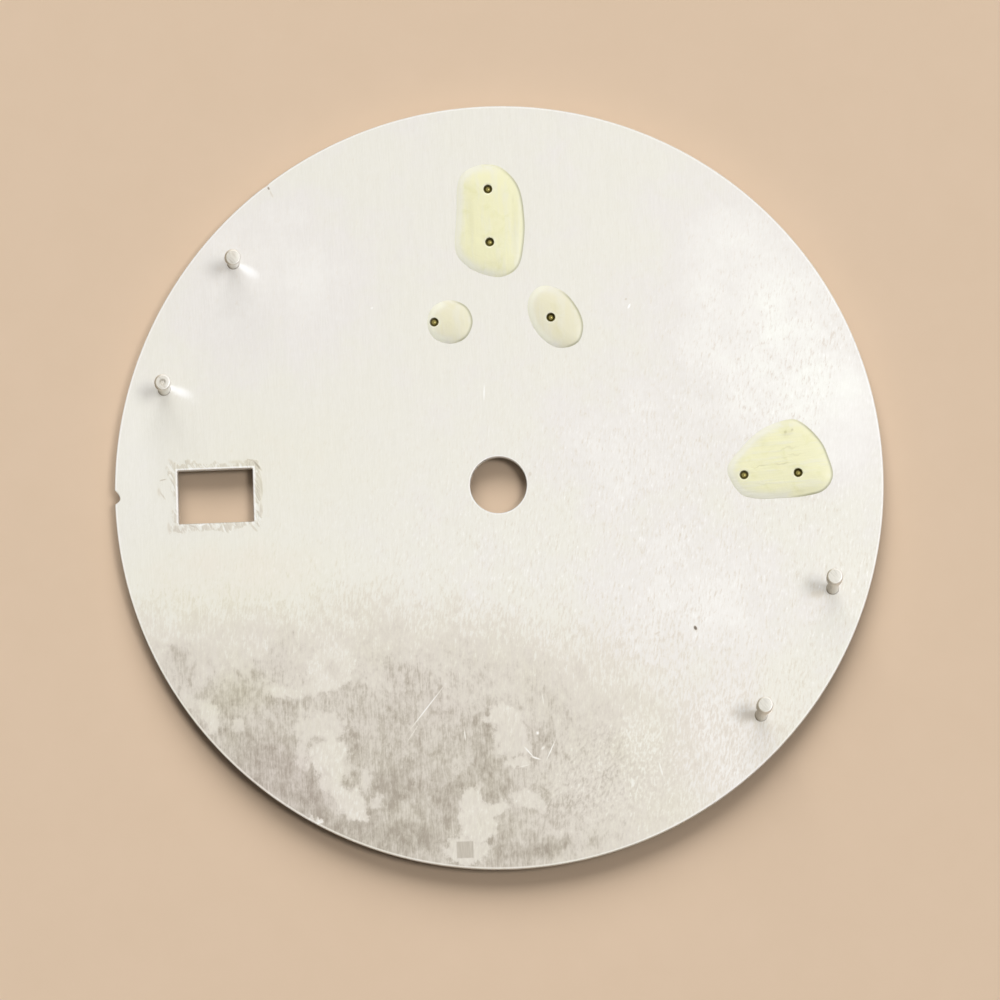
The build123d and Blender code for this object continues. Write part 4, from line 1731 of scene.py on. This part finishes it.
# What dried into the two large drops, its level the depth of the brown
GLUE_9_MARKS = patches(
    ("brown blot", 10.79, 1.54, 0.33, 0.24, 0.22, 0.8, 0, 0),
    ("brown spot left", 10.69, 1.54, 0.082, 0.11, 0.50, 0.85, 0, 0.2),
    ("brown spot right", 10.94, 1.57, 0.074, 0.097, 0.42, 0.8, 0, 0.2),
    ("wrinkle left", 9.77, 0.27, 0.48, 0.037, 0.34, 0.85, 16, 0.1),
    ("wrinkle middle", 10.55, 0.37, 0.48, 0.037, 0.34, 0.85, -2, 0.1),
    ("wrinkle upper", 10.76, 0.94, 0.59, 0.041, 0.20, 0.8, 10, 0.1),
    ("wrinkle top", 11.01, 0.73, 0.45, 0.037, 0.22, 0.8, -6, 0.1),
    ("wrinkle under", 10.64, 0.65, 0.59, 0.037, 0.14, 0.7, 8, 0.1),
    ("wrinkle low", 9.86, -0.33, 0.52, 0.052, 0.14, 0.8, -4, 0.1),
    ("deep left", 9.74, 1.24, 0.45, 0.26, 0.10, 0.7, 30, 0),
    ("deep spot low", 11.17, -0.72, 0.26, 0.13, 0.16, 0.8, 0, 0),
)
GLUE_12_MARKS = patches(
    ("deep band left", -0.67, 9.90, 0.22, 1.4, 0.12, 0.8, 2, 0),
    ("deep band right", 0.96, 9.72, 0.19, 1.6, 0.12, 0.8, -2, 0),
    ("deep streak right", 0.92, 10.66, 0.074, 0.3, 0.14, 0.8, 0, 0),
    ("deep low", 0.06, 8.32, 0.52, 0.22, 0.08, 0.7, 0, 0),
)

# The outline of each drop of glue, from -1 to 1 across its box
PAD_12_SHARES = (
    (-0.67, -0.80), (-0.13, -0.97), (0.36, -1.00), (0.78, -0.83), (0.95, -0.45), (1.00, 0.02), (0.88, 0.55),
    (0.50, 0.88), (0.05, 1.00), (-0.48, 0.95), (-0.85, 0.72), (-0.94, 0.10), (-1.00, -0.50),
)
PAD_9_SHARES = (
    (-0.80, -0.80), (-0.50, -0.98), (-0.01, -1.00), (0.45, -0.97), (0.82, -0.84), (1.00, -0.48), (0.92, 0.04),
    (0.78, 0.45), (0.48, 0.88), (0.20, 1.00), (-0.32, 0.77), (-0.76, 0.26), (-1.00, -0.22),
)
PAD_LEFT_SHARES = (
    (-0.74, -0.70), (0.00, -1.00), (0.70, -0.73), (1.00, 0.00), (0.72, 0.70), (0.00, 1.00), (-0.72, 0.72),
    (-1.00, 0.02),
)
PAD_RIGHT_SHARES = (
    (-0.72, -0.46), (-0.17, -0.92), (0.38, -1.00), (0.84, -0.80), (1.00, -0.30), (0.80, 0.26), (0.29, 0.80),
    (-0.42, 1.00), (-0.90, 0.70), (-1.00, 0.16),
)


@dataclass
class WatchDial:
    """The whole dial, built sub-assembly by sub-assembly."""

    marker_12: AppliedMarker = field(
        default_factory=lambda: AppliedMarker("marker_12", outer_width=2.70, inner_width=1.40)
    )
    marker_9: AppliedMarker = field(default_factory=lambda: AppliedMarker("marker_9", turn=-90))
    bar: AppliedPiece = field(default_factory=lambda: AppliedPiece("applied_bar", 0.08, 0.012, 4.34))
    feet: Sequence[DialFoot] = (
        DialFoot("8h", WireEnd.FLAT, (0.05, 0.19)),
        DialFoot("7h", WireEnd.FLAT, (0.14, 0.17)),
        DialFoot("2h", WireEnd.DIMPLED, (0.15, -0.07)),
        DialFoot("1h", WireEnd.PINCHED, (0.16, -0.17)),
    )

    def glue(self) -> list[bpy.types.Object]:
        """Lays the four drops of glue.

        Returns:
            The pieces.
        """
        thin = CuredGlue("cured_resin_glue_thin", "#f6f0d2", "#f0e9c1", "#f8f4e2").material()
        glue_12 = CuredGlue("cured_resin_glue_12", marks=GLUE_12_MARKS).material()
        glue_9 = CuredGlue("cured_resin_glue_9", marks=GLUE_9_MARKS, band_size=(1.5, 0.16), band_turn=4.0).material()
        left, right = self.bar.pins()
        return [
            *GluePad("glue_pad_12", PAD_12_SHARES, self.marker_12.pins()).build(glue_12),
            *GluePad("glue_pad_9", PAD_9_SHARES, self.marker_9.pins()).build(glue_9),
            *GluePad("glue_pad_bar_left", PAD_LEFT_SHARES, [left], rim_width=0.32).build(thin),
            *GluePad("glue_pad_bar_right", PAD_RIGHT_SHARES, [right], rim_width=0.34).build(thin),
        ]

    def build(self) -> None:
        """Builds every piece and reports it."""
        metal, lume = PolishedPlating().material(), LuminousPaint().material()
        filed = CutWire("plated_wire_filed_end", "#e3e0d7", "#d6d3c9").material()
        cut = CutWire().material()
        applied = (self.marker_12, self.marker_9, self.bar)
        pieces = DialPlate().build(BrushedNickel().material(), [pin for piece in applied for pin in piece.pins()])
        for foot in self.feet:
            pieces += foot.build(filed if foot.end is WireEnd.FLAT else cut)
        for piece in applied:
            pieces += piece.build(metal)
        pieces += self.glue()
        pieces += HourPlots().build(lume)
        pieces += MinuteTrack().build(PadPrint().material())
        pieces += [dress_node(name, lume) for name in ("marker_12_lume", "marker_9_lume")]
        pieces.append(dress_node("face_lacquer", GlossLacquer().material()))
        for piece in pieces:
            log.info("%s: %d faces, %s", piece.name, len(piece.data.polygons), piece.data.materials[0].name)


def main() -> None:
    """Builds the dial and its studio."""
    logging.basicConfig(level=logging.INFO, format="%(name)s %(message)s")
    WatchDial().build()
    PhotoCamera().build()
    Studio().build()


if __name__ == "__main__":
    main()
